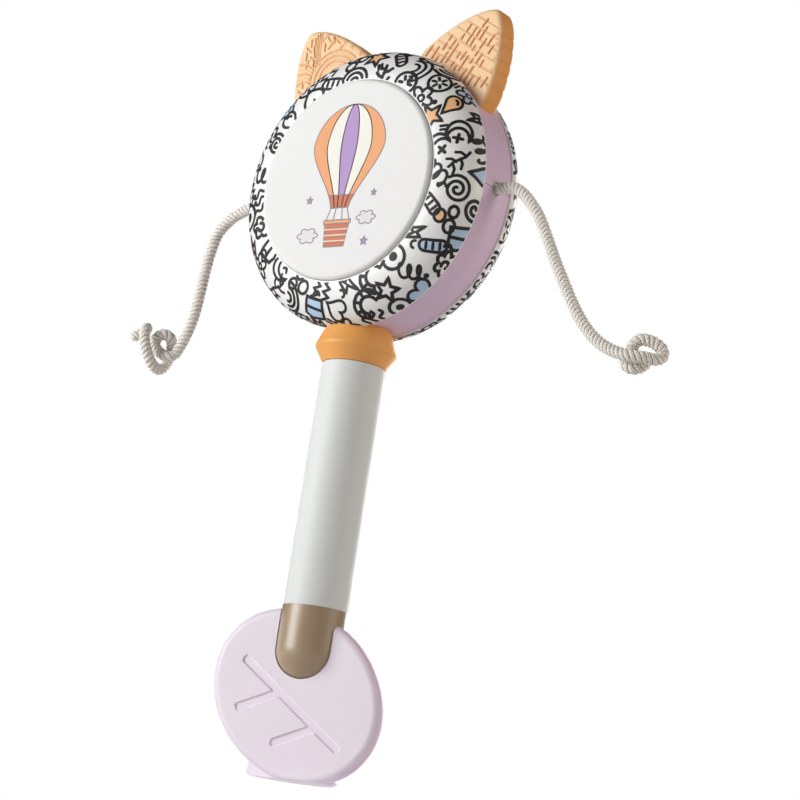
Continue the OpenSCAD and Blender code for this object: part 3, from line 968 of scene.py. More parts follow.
class Motif(Enum):
    """Shapes of the doodle print, each about 2 units across."""
    SPIRAL = member(spiral_lines)
    ZIGZAG = member(zigzag_lines)
    WAVES = member(wave_lines)
    STAR = member(star_lines)
    CLOUD = member(cloud_lines)
    DROP = member(drop_lines)
    SPRIG = member(sprig_lines)
    ARCS = member(arc_lines)
    TARGET = member(target_lines)
    FLOWER = member(flower_lines)
    CRESCENT = member(crescent_lines)
    BEAN = member(bean_lines)
    WHEEL = member(wheel_lines)
    LOOPS = member(loop_lines)
    TILE = member(tile_lines)
    LADDER = member(ladder_lines)
    HEART = member(heart_lines)
    BOLT = member(bolt_lines)
    PEBBLES = member(pebble_lines)

    @property
    def fillable(self) -> bool:
        """Whether the motif has a body to fill."""
        return any(stroke.body for stroke in self.value())

    def strokes(self, fill: Ink | None) -> list[Stroke]:
        """Lines of the motif, with an ink in its body if one is given."""
        return [replace(stroke, fill=fill) if stroke.body else stroke for stroke in self.value()]


@dataclass
class InkSheet:
    """Collects raised lines and fills of a drawing, laid on a surface.

    Attributes:
        place: Gives the point at a place across, up and above the surface.
        inks: Inks in the order of the material slots.
    """
    place: Callable[[float, float, float], Vector]
    inks: tuple[Ink, ...]
    mesh: bmesh.types.BMesh = field(default_factory=bmesh.new)
    line_step: float = 0.0005
    fill_step: float = 0.0006
    fill_rings: int = 7
    sharpest: float = 0.62
    end_turns: tuple[float, ...] = (30, 60, 82)

    def face(self, verts: Sequence[bmesh.types.BMVert], number: int) -> None:
        """Adds a face in the ink of that number."""
        self.mesh.faces.new(verts).material_index = number

    def bridge(self, one: list[bmesh.types.BMVert], two: list[bmesh.types.BMVert],
               number: int) -> None:
        """Joins two rings of points by faces.

        Args:
            one: First ring.
            two: Second ring, with as many points.
            number: Number of the ink.
        """
        for k in range(len(one)):
            n = (k + 1) % len(one)
            self.face((one[k], one[n], two[n], two[k]), number)

    def line(self, points: list[Point2], width: float, ink: Ink, closed: bool, lift: float) -> None:
        """Lays a line of even width with round ends.

        Args:
            points: Points of the line.
            width: Width of the line.
            ink: Its ink.
            closed: Whether it joins up.
            lift: Height above the surface.
        """
        spots = [np.array(p) for p in self.divide(points, closed)]
        count = len(spots)
        if count < 3:
            return
        rows: list[InkRow] = []
        for i, spot in enumerate(spots):
            before = spots[i - 1] if closed or i else spot
            after = spots[(i + 1) % count] if closed or i < count - 1 else spot
            way_in, way_out = self._unit(spot - before), self._unit(after - spot)
            along = self._unit(way_in + way_out)
            ahead = way_out if closed or i < count - 1 else way_in
            turn = max(abs(float(along @ ahead)), self.sharpest)
            rows.append((spot, np.array((-along[1], along[0])) * (width / 2 / turn)))
        if not closed:
            rows = self._rounded(rows[0], spots[0] - spots[1])[::-1] + rows
            rows += self._rounded(rows[-1], spots[-1] - spots[-2])
        rings = []
        for spot, half in rows:
            corners = ((spot + half, -lift), (spot + half, lift),
                       (spot - half, lift), (spot - half, -lift))
            rings.append([self.mesh.verts.new(self.place(*p, h)) for p, h in corners])
        number = self.inks.index(ink)
        for one, two in zip(rings, rings[1:] + (rings[:1] if closed else [])):
            self.bridge(one, two, number)
        if not closed:
            self.face(rings[0][::-1], number)
            self.face(rings[-1], number)

    def fill(self, points: list[Point2], ink: Ink, lift: float) -> None:
        """Fills a shape that its middle can see all of.

        Args:
            points: Outline of the shape.
            ink: Its ink.
            lift: Height above the surface.
        """
        path = [np.array(p) for p in self.divide(points, True, self.fill_step)]
        count, number = len(path), self.inks.index(ink)
        middle = sum(path) / count
        levels = [(1.0, -lift)] + [(1 - k / self.fill_rings, lift) for k in range(self.fill_rings)]
        rings = [[self.mesh.verts.new(self.place(*(middle + (p - middle) * s), h)) for p in path]
                 for s, h in levels]
        top, base = (self.mesh.verts.new(self.place(*middle, h)) for h in (lift, -lift))
        for one, two in zip(rings, rings[1:]):
            self.bridge(one, two, number)
        for k in range(count):
            n = (k + 1) % count
            self.face((rings[-1][k], rings[-1][n], top), number)
            self.face((rings[0][n], rings[0][k], base), number)

    def finish(self, name: str) -> bpy.types.Object:
        """Makes the piece.

        Args:
            name: Name of the piece.

        Returns:
            The piece.
        """
        bmesh.ops.recalc_face_normals(self.mesh, faces=self.mesh.faces)
        mesh = bpy.data.meshes.new(name)
        self.mesh.to_mesh(mesh)
        self.mesh.free()
        for ink in self.inks:
            mesh.materials.append(ink.value.material())
        return link(name, mesh)

    @staticmethod
    def _unit(way: np.ndarray) -> np.ndarray:
        """Direction of a vector, or the vector where it has no length."""
        size = float(np.hypot(*way))
        return way / size if size > 1e-12 else way

    def _rounded(self, row: InkRow, way: np.ndarray) -> list[InkRow]:
        """Extra rows that round off an end of a line.

        Args:
            row: Row at that end.
            way: Direction out of the line there.

        Returns:
            The rows, from the end outwards.
        """
        spot, half = row
        reach = self._unit(way) * float(np.hypot(*half))
        turns = [math.radians(a) for a in self.end_turns]
        return [(spot + reach * math.sin(a), half * math.cos(a)) for a in turns]

    def divide(self, points: list[Point2], closed: bool, step: float | None = None) -> list[Point2]:
        """Adds points so that no piece of a line is longer than a step.

        Args:
            points: Points of the line.
            closed: Whether it joins up.
            step: Longest piece, or nothing for a line's usual step.

        Returns:
            The points.
        """
        ends = points[1:] + (points[:1] if closed else [])
        path: list[Point2] = []
        for (ax, ay), (bx, by) in zip(points, ends):
            count = max(1, math.ceil(math.hypot(bx - ax, by - ay) / (step or self.line_step)))
            path += [(ax + (bx - ax) * k / count, ay + (by - ay) * k / count) for k in range(count)]
        return path if closed else path + [points[-1]]


@dataclass
class ShellPrint:
    """Doodle print on one of the drum's shells."""
    face: Face
    seed: int
    cell: float = 0.0097
    motif_r: float = 0.0043
    line_w: float = 0.00107
    rows: tuple[float, ...] = (0.0018, 0.0090, 0.0162)
    gap_rows: tuple[float, ...] = (0.0044, 0.0136)
    sway: float = 0.12
    drift: float = 0.0005
    sizes: Point2 = (0.9, 1.08)
    widths: Point2 = (0.85, 1.1)
    mark_sway: float = 0.08
    mark_share: float = 0.45
    mark_size: float = 0.3
    mark_width: float = 0.85
    fill_share: float = 0.3
    edge_gap: float = 0.0004
    samples: int = 400
    lift: float = 0.00005
    fill_lift: float = 0.00003
    table: tuple[np.ndarray, np.ndarray] = field(init=False)

    def __post_init__(self) -> None:
        """Measures the shell's section from its lip to the skin's seat."""
        turn = np.linspace(0, math.pi / 2, self.samples)
        run = np.hypot(np.diff(DRUM.shell_wide * np.cos(turn)),
                       np.diff(DRUM.shell_depth * np.sin(turn)))
        self.table = (np.concatenate(([0.0], np.cumsum(run))), turn)

    def radius(self, up: float) -> float:
        """Distance from the drum's axis at a place up the shell."""
        angle = float(np.interp(up, *self.table))
        return DRUM.seat_r + DRUM.shell_wide * math.cos(angle)

    def place(self, across: float, up: float, lift: float) -> Vector:
        """Point on the shell.

        Args:
            across: Angle round the drum.
            up: Distance from the lip along the shell.
            lift: Height above the shell.

        Returns:
            The point.
        """
        angle = float(np.interp(up, *self.table))
        wide, deep = DRUM.shell_wide, DRUM.shell_depth
        out = np.array((math.cos(angle) / wide, math.sin(angle) / deep))
        out /= np.hypot(*out)
        r = DRUM.seat_r + wide * math.cos(angle) + out[0] * lift
        depth = DRUM.shell_from + deep * math.sin(angle) + out[1] * lift
        x, z = polar(r, across)
        return Vector((x, self.face.value * depth, DRUM.centre_z + z))

    def build(self) -> bpy.types.Object:
        """Lays out the motifs and the small marks between them.

        Returns:
            The print's piece.
        """
        draw = random.Random(self.seed)
        inks = (Ink.BLACK, Ink.SKY, Ink.APRICOT)
        sheet = InkSheet(self.place, inks)
        deck: list[Motif] = []
        for number, up in enumerate(self.rows):
            count = round(math.tau * self.radius(up) / self.cell)
            for k in range(count):
                if not deck:
                    deck = list(Motif)
                    draw.shuffle(deck)
                motif = deck.pop()
                wet = motif.fillable and draw.random() < self.fill_share
                fill = draw.choice(inks[1:]) if wet else None
                at = math.tau * (k + 0.5 * number + draw.uniform(-self.sway, self.sway)) / count
                size = self.motif_r * draw.uniform(*self.sizes)
                off = draw.uniform(-self.drift, self.drift)
                turn = draw.uniform(0, math.tau)
                width = self.line_w * draw.uniform(*self.widths)
                self._stamp(sheet, motif.strokes(fill), at, up + off, size, turn, width)
        size, width = self.motif_r * self.mark_size, self.line_w * self.mark_width
        for up in self.gap_rows:
            count = round(math.tau * self.radius(up) / self.cell)
            for k in range(count):
                at = math.tau * (k + 0.5 + draw.uniform(-self.mark_sway, self.mark_sway)) / count
                lines = draw.choice((arc_mark, dot_mark, dash_mark))()
                turn = draw.uniform(0, math.tau)
                if draw.random() < self.mark_share:
                    self._stamp(sheet, lines, at, up, size, turn, width)
        return settle(sheet.finish(f"{self.face.word}_shell_print"), DRUM_BODY, "printed_shell")

    def _stamp(self, sheet: InkSheet, strokes: list[Stroke], at: float, up: float, size: float,
               turn: float, width: float) -> None:
        """Lays one motif on the shell.

        Args:
            sheet: Sheet that takes it.
            strokes: The motif's lines.
            at: Angle round the drum.
            up: Distance from the lip.
            size: Half the motif's width.
            turn: Its turn.
            width: Width of its lines.
        """
        r = self.radius(up)
        cos, sin = math.cos(turn) * size, math.sin(turn) * size
        outer = sheet.place
        low, high = self.edge_gap, float(self.table[0][-1]) - self.edge_gap

        def on_shell(x: float, y: float, lift: float) -> Vector:
            """Point of the motif on the shell."""
            return outer(at + x / r, min(max(up + y, low), high), lift)
        sheet.place = on_shell
        for stroke in strokes:
            spots = [(x * cos - y * sin, x * sin + y * cos) for x, y in stroke.points]
            if stroke.fill:
                sheet.fill(spots, stroke.fill, self.fill_lift)
            path = sheet.divide(spots, stroke.closed)
            kept = [low - up <= y <= high - up for _, y in path]
            if all(kept):
                sheet.line(spots, width, Ink.BLACK, stroke.closed, self.lift)
                continue
            for run in self._runs(path, kept, stroke.closed):
                sheet.line(run, width, Ink.BLACK, False, self.lift)
        sheet.place = outer

    @staticmethod
    def _runs(path: list[Point2], kept: list[bool], closed: bool) -> Lines2:
        """Cuts a line off at the shell's edges.

        Args:
            path: Points of the line.
            kept: Whether each of them is on the shell.
            closed: Whether the line joins up.

        Returns:
            Each stretch that stays.
        """
        if closed:
            turn = kept.index(False)
            path, kept = path[turn:] + path[:turn], kept[turn:] + kept[:turn]
        runs: Lines2 = [[]]
        for spot, stays in zip(path, kept):
            if stays:
                runs[-1].append(spot)
            elif runs[-1]:
                runs.append([])
        return [run for run in runs if len(run) > 2]


def arc_mark() -> list[Stroke]:
    """A small arc."""
    return [Stroke(arc(0, 0, 0.9, 20, 200, 10))]


def dot_mark() -> list[Stroke]:
    """A small dot."""
    return [Stroke(ring(0, 0, 0.35, 8), True, Ink.BLACK)]


def dash_mark() -> list[Stroke]:
    """Two short dashes."""
    return [Stroke([(-0.9, 0.5), (0.9, 0.5)]), Stroke([(-0.9, -0.5), (0.9, -0.5)])]


@dataclass
class BalloonPicture:
    """Picture of a hot-air balloon on the front skin."""
    lift: float = 0.00004
    line_lift: float = 0.00007
    line_w: float = 0.00032
    half_w: float = 0.0142
    top: float = 0.0245
    neck: float = -0.0098
    neck_w: float = 0.0034
    skirt: float = 0.0042
    basket_top: float = -0.0150
    basket_low: float = -0.0225
    basket_w: float = 0.0048
    basket_foot: float = 0.82
    brim_w: float = 1.1
    brim_high: float = 0.0012
    on_top: float = 1.4
    slat_lift: float = 1.3
    slats: int = 3
    slat_taper: float = 0.045
    gore_steps: int = 28
    edges: tuple[float, ...] = (-1.0, -0.62, -0.22, 0.22, 0.62, 1.0)
    stripes: tuple[Ink, ...] = (Ink.ORANGE, Ink.CREAM, Ink.LILAC, Ink.CREAM, Ink.ORANGE)
    ropes: tuple[float, ...] = (-0.95, -0.35, 0.35, 0.95)
    clouds: tuple[Point3, ...] = ((-0.0112, -0.0185, 0.0040), (0.0112, -0.0135, 0.0036))
    cloud_flat: float = 0.62
    sparks: tuple[Point3, ...] = ((-0.0125, -0.0068, 0.0013), (0.0118, -0.0212, 0.0015),
                                  (0.0128, -0.0055, 0.0011))

    def place(self, across: float, up: float, lift: float) -> Vector:
        """Point on the front skin."""
        return Vector((across, -DRUM.skin_top - lift, DRUM.centre_z + up))

    def width(self, up: float) -> float:
        """Half-width of the balloon.

        Args:
            up: Height from the drum's axis.

        Returns:
            The half-width there.
        """
        middle = self.top - self.half_w
        if up >= middle:
            return math.sqrt(max(self.half_w ** 2 - (up - middle) ** 2, 0.0))
        share = (middle - up) / (middle - self.neck)
        smooth = share * share * (3 - 2 * share)
        return self.half_w + (self.neck_w - self.half_w) * (0.45 * share + 0.55 * smooth)

    def gore(self, left: float, right: float, low: float, high: float) -> list[Point2]:
        """Outline of a stripe of the balloon.

        Args:
            left: Share of the half-width at its left edge.
            right: Share at its right edge.
            low: Lowest height.
            high: Highest height.

        Returns:
            The outline.
        """
        turns = [math.pi * i / self.gore_steps for i in range(self.gore_steps + 1)]
        ups = [low + (high - low) * (1 - math.cos(a)) / 2 for a in turns]
        return ([(left * self.width(u), u) for u in ups]
                + [(right * self.width(u), u) for u in reversed(ups[:-1])])

    def build(self) -> bpy.types.Object:
        """Draws the balloon, its basket and the clouds.

        Returns:
            The picture's piece.
        """
        inks = (Ink.GREY, Ink.ORANGE, Ink.RUST, Ink.LILAC, Ink.MIST, Ink.CREAM)
        sheet = InkSheet(self.place, inks)
        for left, right, ink in zip(self.edges, self.edges[1:], self.stripes):
            self._patch(sheet, self.gore(left, right, self.neck, self.top), ink)
        skirt = self.gore(-1, 1, self.neck, self.neck + self.skirt)
        self._patch(sheet, skirt, Ink.RUST, self.on_top)
        self._basket(sheet)
        for at, up, size in self.clouds:
            puff = [(at + x * size, up + self.cloud_flat * y * size) for x, y in PUFF]
            self._patch(sheet, puff, Ink.MIST)
        for at, up, size in self.sparks:
            spark = [(at + x * size, up + y * size) for x, y in star_lines()[0].points]
            self._patch(sheet, spark, Ink.LILAC)
        return settle(sheet.finish("front_skin_picture"), DRUM_BODY, "drum_skin")

    def _basket(self, sheet: InkSheet) -> None:
        """Draws the basket with its brim, ropes and slats.

        Args:
            sheet: Sheet that takes it.
        """
        top, low = self.basket_top, self.basket_low
        half, foot = self.basket_w, self.basket_w * self.basket_foot
        self._patch(sheet, [(-half, top), (-foot, low), (foot, low), (half, top)], Ink.RUST)
        wide, high = half * self.brim_w, top + self.brim_high
        brim = [(-wide, top), (wide, top), (wide, high), (-wide, high)]
        self._patch(sheet, brim, Ink.ORANGE, self.on_top)
        for share in self.ropes:
            ends = [(share * self.neck_w, self.neck), (share * half, high)]
            sheet.line(ends, self.line_w, Ink.GREY, False, self.line_lift)
        for row in range(1, self.slats + 1):
            up = top + (low - top) * row / (self.slats + 1)
            reach = half * (1 - self.slat_taper * row)
            sheet.line([(-reach, up), (reach, up)], self.line_w, Ink.CREAM, False,
                       self.line_lift * self.slat_lift)

    def _patch(self, sheet: InkSheet, outline: list[Point2], ink: Ink,
               raise_by: float = 1.0) -> None:
        """Fills a shape and draws its thin outline.

        Args:
            sheet: Sheet that takes it.
            outline: Its outline.
            ink: Its ink.
            raise_by: Factor on its height, for a shape on another.
        """
        lift = self.lift * raise_by
        number = sheet.inks.index(ink)
        flat = [Vector((x, y, 0)) for x, y in outline]
        high = [sheet.mesh.verts.new(self.place(p.x, p.y, lift)) for p in flat]
        low = [sheet.mesh.verts.new(self.place(p.x, p.y, -lift)) for p in flat]
        for a, b, c in tessellate_polygon([flat]):
            sheet.face((high[a], high[b], high[c]), number)
            sheet.face((low[c], low[b], low[a]), number)
        sheet.bridge(low, high, number)
        sheet.line(outline, self.line_w, Ink.GREY, True, self.line_lift * raise_by)


def line_distance(spots: np.ndarray, line: np.ndarray) -> np.ndarray:
    """Distance of each spot from a line.

    Args:
        spots: Places, one row each.
        line: Points of the line, one row each.

    Returns:
        The distances.
    """
    best = np.full(len(spots), 1.0)
    for start, end in zip(line[:-1], line[1:]):
        way = end - start
        along = np.clip(((spots - start) @ way) / max(float(way @ way), 1e-18), 0, 1)
        best = np.minimum(best, np.hypot(*(spots - start - along[:, None] * way).T))
    return best


def groove_depth(spots: np.ndarray, lines: Lines2, half: float, soft: float) -> np.ndarray:
    """How far each spot lies in a groove.

    Args:
        spots: Places, one row each.
        lines: Centre lines of the grooves.
        half: Half-width of a groove's floor.
        soft: Width of its sloping wall.

    Returns:
        A share for each spot, 1 on a groove's floor and 0 outside.
    """
    gap = np.min([line_distance(spots, np.array(line)) for line in lines], axis=0)
    share = np.clip((gap - half) / soft, 0, 1)
    return 1 - share * share * (3 - 2 * share)


def rim_drop(inside: np.ndarray, radius: float) -> np.ndarray:
    """How far a rounded edge falls below the face.

    Args:
        inside: Distance of each spot from the outline.
        radius: Radius of the edge.

    Returns:
        The drop at each spot.
    """
    back = np.clip(radius - inside, 0, radius)
    return radius - np.sqrt(np.maximum(radius ** 2 - back ** 2, 0))


def ring_faces(first: int, rings: int, count: int) -> list[tuple[int, ...]]:
    """Faces between rings of points that follow each other.

    Args:
        first: Number of the first point.
        rings: Number of rings.
        count: Points of a ring.

    Returns:
        The faces.
    """
    faces: list[tuple[int, ...]] = []
    for j in range(rings - 1):
        for k in range(count):
            a, b = first + j * count + k, first + j * count + (k + 1) % count
            faces.append((a, b, b + count, a + count))
    return faces


def shade(mesh: bpy.types.Mesh, angle: float) -> None:
    """Smooths a mesh except at its sharp edges.

    Args:
        mesh: The mesh.
        angle: Angle in degrees from which an edge is sharp.
    """
    mesh.shade_smooth()
    mesh.set_sharp_from_angle(angle=math.radians(angle))


def note(mesh: bpy.types.Mesh, name: str, values: np.ndarray) -> None:
    """Stores a value for each corner point of a mesh.

    Args:
        mesh: The mesh.
        name: Name of the attribute.
        values: One value for each vertex.
    """
    made = mesh.attributes.new(name, "FLOAT", "POINT")
    made.data.foreach_set("value", values.astype(np.float32))


@dataclass
class EngravedEar:
    """Soft ear with engraved lines, plugged into the band by its tongue."""
    side: Side
    seed: int
    height: float = 0.0248
    width: float = 0.0338
    thick: float = 0.008
    edge: float = 0.0017
    # Width of the painted shade along the rim.
    rim_shade_wide: float = 0.0009
    swell: float = 1.3
    taper: float = 0.65
    angle: float = 33.0
    root: float = -0.0045
    edge_steps: int = 160
    sharp: float = 60.0
    weld: float = 2e-6
    tongue: Point3 = (0.014, 0.0046, 0.004)
    tongue_over: float = 0.001
    rows: int = 120
    row_mix: Point2 = (0.55, 0.45)
    columns: int = 180
    column_mix: Point2 = (0.6, 0.4)
    low_rows: int = 8
    groove_half: float = 0.00013
    groove_soft: float = 0.00026
    groove_deep: float = 0.00042
    # Share of painted shade in the grooves.
    painted_groove_shade: float = 1.0
    calm_from: float = 0.0003
    calm_over: float = 0.0008
    faint: float = 0.4
    dent_soft: float = 0.0007
    dent_deep: float = 0.00032
    # Share of painted shade in the dents.
    painted_dent_shade: float = 0.3
    dent_in: Point2 = (1.2, 0.7)
    dent_out: Point2 = (0.4, 0.3)
    dent_ups: tuple[float, ...] = (4.6, 9.0, 12.4, 16.6, 19.4)
    course_xs: Point2 = (-14.2, 14.4)
    course_step: Point2 = (1.8, 2.8)
    first_up: Point2 = (-0.6, 2.4)
    last_up: float = 22.0
    highest: float = 22.6
    dashes: tuple[float, ...] = (1.6, 2.2, 3.0, 4.2, 6.0)
    dash_vary: Point2 = (0.85, 1.15)
    dash_lean: float = 0.12
    dash_between: Point2 = (1.0, 4.0)
    dash_gap: float = 1.7
    cross_ups: tuple[float, ...] = (3.4, 7.0, 10.4, 13.8, 17.0, 20.0)
    cross_gap: float = 1.6
    cross_slope: float = 0.05
    stem_xs: tuple[float, ...] = (-1.2, -0.4, 0.4, 1.2)
    stem_ups: Point2 = (11.6, 21.8)
    stem_foot: float = 15.7
    stem_waist: float = 16.5
    stem_lean: float = 0.55
    stem_flare: float = 0.012
    bows: int = 6
    bow_middle: Point2 = (2.0, 2.2)
    bow_r: float = 10.4
    bow_step: float = 0.95
    bow_turns: Point2 = (12, 150)
    roots: int = 5
    cut_half: Point2 = (0.8, 1.3)
    cut_gap: float = 1.1
    cuts: tuple[Point3, ...] = (
        (-0.6, 20.6, 60), (-2.4, 19.0, 110), (-0.6, 17.6, 70), (-4.2, 17.4, 60), (-2.4, 15.2, 120),
        (-5.0, 14.6, 40), (4.4, 18.6, 20), (6.0, 17.2, 100), (3.4, 15.6, 60), (5.6, 14.6, 20),
        (7.6, 15.6, 70), (8.8, 13.8, 110), (10.2, 12.4, 60), (9.0, 11.2, 20), (-9.4, 9.0, 70),
        (-11.2, 7.0, 120), (-8.6, 6.2, 40), (-12.6, 4.6, 60))

    def half_at(self, up: np.ndarray) -> np.ndarray:
        """Half-width of the ear at heights above the band."""
        share = np.clip(up / self.height, 0, 1)
        return self.width / 2 * (1 - share ** self.swell) ** self.taper

    def reach(self, up: float) -> float:
        """Half-width of the ear in millimetres at a height in millimetres."""
        return float(self.half_at(np.array([up * MM]))[0]) / MM

    def lines(self) -> tuple[Lines2, Lines2]:
        """Deep and faint lines of the engraving, in millimetres across and up from the band."""
        draw = random.Random(self.seed)
        return self._courses(draw) if self.side is Side.RIGHT else self._bundle(draw)

    def _courses(self, draw: random.Random) -> tuple[Lines2, Lines2]:
        """Dashes along the ear, with faint lines across them.

        Args:
            draw: Source of the lengths.

        Returns:
            The deep and the faint lines.
        """
        deep: Lines2 = []
        x, last = self.course_xs
        while x < last:
            up = draw.uniform(*self.first_up)
            while up < self.last_up:
                top = up + draw.choice(self.dashes) * draw.uniform(*self.dash_vary)
                if top < self.highest and self.reach(top) - self.dash_gap > abs(x):
                    lean = draw.uniform(-self.dash_lean, self.dash_lean)
                    deep.append([(x, up), (x + lean, top)])
                up = top + draw.uniform(*self.dash_between)
            x += draw.uniform(*self.course_step)
        faint: Lines2 = []
        for up in self.cross_ups:
            far = self.reach(up) - self.cross_gap
            faint.append([(t, up + self.cross_slope * t) for t in np.linspace(-far, far, 7)])
        return deep, faint

    def _bundle(self, draw: random.Random) -> tuple[Lines2, Lines2]:
        """A stem of long lines with bows below it, roots at its left and short cuts round it.

        Args:
            draw: Source of the small differences.

        Returns:
            The deep and the faint lines.
        """
        deep: Lines2 = []
        faint: Lines2 = []
        low, high = self.stem_ups
        for x in self.stem_xs:
            ups = np.linspace(low, high - 0.6 * abs(x), 9)
            flare = [1 + self.stem_flare * (u - self.stem_waist) ** 2 for u in ups]
            deep.append([(self.stem_lean * (u - self.stem_foot) + x * f, u)
                         for u, f in zip(ups, flare)])
        for k in range(self.bows):
            bow = arc(*self.bow_middle, self.bow_r - self.bow_step * k, *self.bow_turns, 18)
            (faint if k % 2 else deep).append(bow)
        for k in range(self.roots):
            near, far = (-3.6 - 0.7 * k, 11.6 - 0.9 * k), (-7.4 - 1.1 * k, 16.4 - 1.5 * k)
            bulge = ((near[0] + far[0]) / 2 + 0.5, (near[1] + far[1]) / 2 + 0.5)
            (faint if k % 2 else deep).append([far, bulge, near])
        for x, up, turn in self.cuts:
            across, rise = polar(draw.uniform(*self.cut_half), math.radians(turn))
            deep.append([(x - across, up - rise), (x + across, up + rise)])
        return self._kept(deep), self._kept(faint)

    def _dents(self) -> Lines2:
        """Short dents across the rim at the ear's right."""
        (near, below), (far, above) = self.dent_in, self.dent_out
        return [[((self.reach(up) - near) * MM, (up - below) * MM),
                 ((self.reach(up) + far) * MM, (up + above) * MM)] for up in self.dent_ups]

    def _kept(self, lines: Lines2) -> Lines2:
        """Lines without the points near the ear's edge."""
        cut = [[p for p in line if self.reach(max(p[1], 0)) - self.cut_gap > abs(p[0])]
               for line in lines]
        return [line for line in cut if len(line) > 1]

    def grid(self) -> np.ndarray:
        """Places of one face.

        Returns:
            The places, row by row from the band to the tip.
        """
        level = np.linspace(0, 1, self.rows)
        plain, eased = self.row_mix
        ups = self.height * (plain * level + eased * np.sin(level * math.pi / 2))
        share = np.linspace(-1, 1, self.columns)
        plain, eased = self.column_mix
        share = plain * share + eased * np.sin(share * math.pi / 2)
        spots = []
        for k in range(self.low_rows):
            x = share * self.width / 2
            low = np.sqrt(DRUM.band_r ** 2 - x ** 2) - DRUM.band_r
            spots.append(np.stack((x, low * (1 - k / self.low_rows)), 1))
        for up in ups:
            x = share * self.half_at(np.array([up]))
            spots.append(np.stack((x, np.full(self.columns, up)), 1))
        return np.concatenate(spots)

    def _relief(self, spots: np.ndarray) -> tuple[np.ndarray, np.ndarray, np.ndarray]:
        """Height and painted shade of one face.

        Args:
            spots: Places of the face.

        Returns:
            Each place's height over the middle plane, share of the painted rim shade and share of
            the painted shade in the grooves and dents.
        """
        level = np.linspace(0, 1, self.edge_steps)
        ups = np.concatenate(([self.root], self.height * np.sin(level * math.pi / 2)))
        half = self.half_at(np.maximum(ups, 0))
        outline = np.concatenate((np.stack((half, ups), 1), np.stack((-half[::-1], ups[::-1]), 1)))
        inside = line_distance(spots, outline)
        deep, faint = ([[(x * MM, y * MM) for x, y in line] for line in lines]
                       for lines in self.lines())
        groove = (self.groove_half, self.groove_soft)
        cut = np.maximum(groove_depth(spots, deep, *groove),
                         self.faint * groove_depth(spots, faint, *groove))
        cut *= np.clip((inside - self.calm_from) / self.calm_over, 0, 1)
        dents = groove_depth(spots, self._dents(), self.groove_half, self.dent_soft)
        rise = (self.thick / 2 - rim_drop(inside, self.edge) - self.groove_deep * cut
                - self.dent_deep * dents)
        # Painted shade along the rim, fading inwards over its width.
        rim = np.clip(1 - inside / self.rim_shade_wide, 0, 1)
        return rise, rim, np.maximum(self.painted_groove_shade * cut, self.painted_dent_shade * dents)

    def _faces(self, total: int) -> list[tuple[int, ...]]:
        """Faces of both sides and of the wall between them.

        Args:
            total: Number of points on one side.

        Returns:
            The faces.
        """
        count, lines = self.columns, total // self.columns
        faces: list[tuple[int, ...]] = []
        for j in range(lines - 1):
            for i in range(count - 1):
                a, b = j * count + i, j * count + i + 1
                faces.append((a, b, b + count, a + count))
                faces.append((total + b, total + a, total + a + count, total + b + count))
        rim = ([(0, i) for i in range(count - 1)] + [(j, count - 1) for j in range(lines - 1)]
               + [(lines - 1, i) for i in range(count - 1, 0, -1)]
               + [(j, 0) for j in range(lines - 1, 0, -1)])
        numbers = [j * count + i for j, i in rim]
        for a, b in zip(numbers, numbers[1:] + numbers[:1]):
            faces.append((b, a, total + a, total + b))
        return faces

    def build(self) -> bpy.types.Object:
        """Makes the ear.

        Returns:
            The ear's piece.
        """
        spots = self.grid()
        rise, rim, groove = self._relief(spots)
        verts = [self._turned(x, DRUM.band_r + y, z * side) for side in (1, -1)
                 for (x, y), z in zip(spots, rise)]
        mesh = bpy.data.meshes.new(f"{self.side.word}_ear_pad")
        mesh.from_pydata(verts, [], self._faces(len(spots)))
        # Masks of the painted shade on the rim and in the grooves and dents.
        note(mesh, "rim", np.tile(rim, 2))
        note(mesh, "groove", np.tile(groove, 2))
        work = bmesh.new()
        work.from_mesh(mesh)
        bmesh.ops.remove_doubles(work, verts=work.verts, dist=self.weld)
        bmesh.ops.recalc_face_normals(work, faces=work.faces)
        self._add_tongue(work)
        work.to_mesh(mesh)
        work.free()
        mesh.materials.append(EAR_PEACH.material())
        shade(mesh, self.sharp)
        return settle(link(mesh.name, mesh), DRUM_BODY, "orange_silicone", f"{self.side.word}_ear")

    def _turned(self, x: float, y: float, z: float) -> Point3:
        """Point of the ear's own plane in the shared frame."""
        turn = math.radians(self.angle) * self.side.value
        return (x * math.cos(turn) + y * math.sin(turn), -z,
                DRUM.centre_z - x * math.sin(turn) + y * math.cos(turn))

    def _add_tongue(self, work: bmesh.types.BMesh) -> None:
        """Adds the tongue that sits in the band's slot.

        Args:
            work: Mesh of the ear.
        """
        wide, deep, thick = self.tongue
        half, low, high = wide / 2, DRUM.band_r - deep, DRUM.band_r + self.tongue_over
        corners = [work.verts.new(self._turned(x, y, z)) for z in (-thick / 2, thick / 2)
                   for x, y in ((-half, low), (half, low), (half, high), (-half, high))]
        sides = [(0, 3, 2, 1), (4, 5, 6, 7), (0, 1, 5, 4), (1, 2, 6, 5), (2, 3, 7, 6), (3, 0, 4, 7)]
        made = [work.faces.new([corners[k] for k in side]) for side in sides]
        bmesh.ops.recalc_face_normals(work, faces=made)


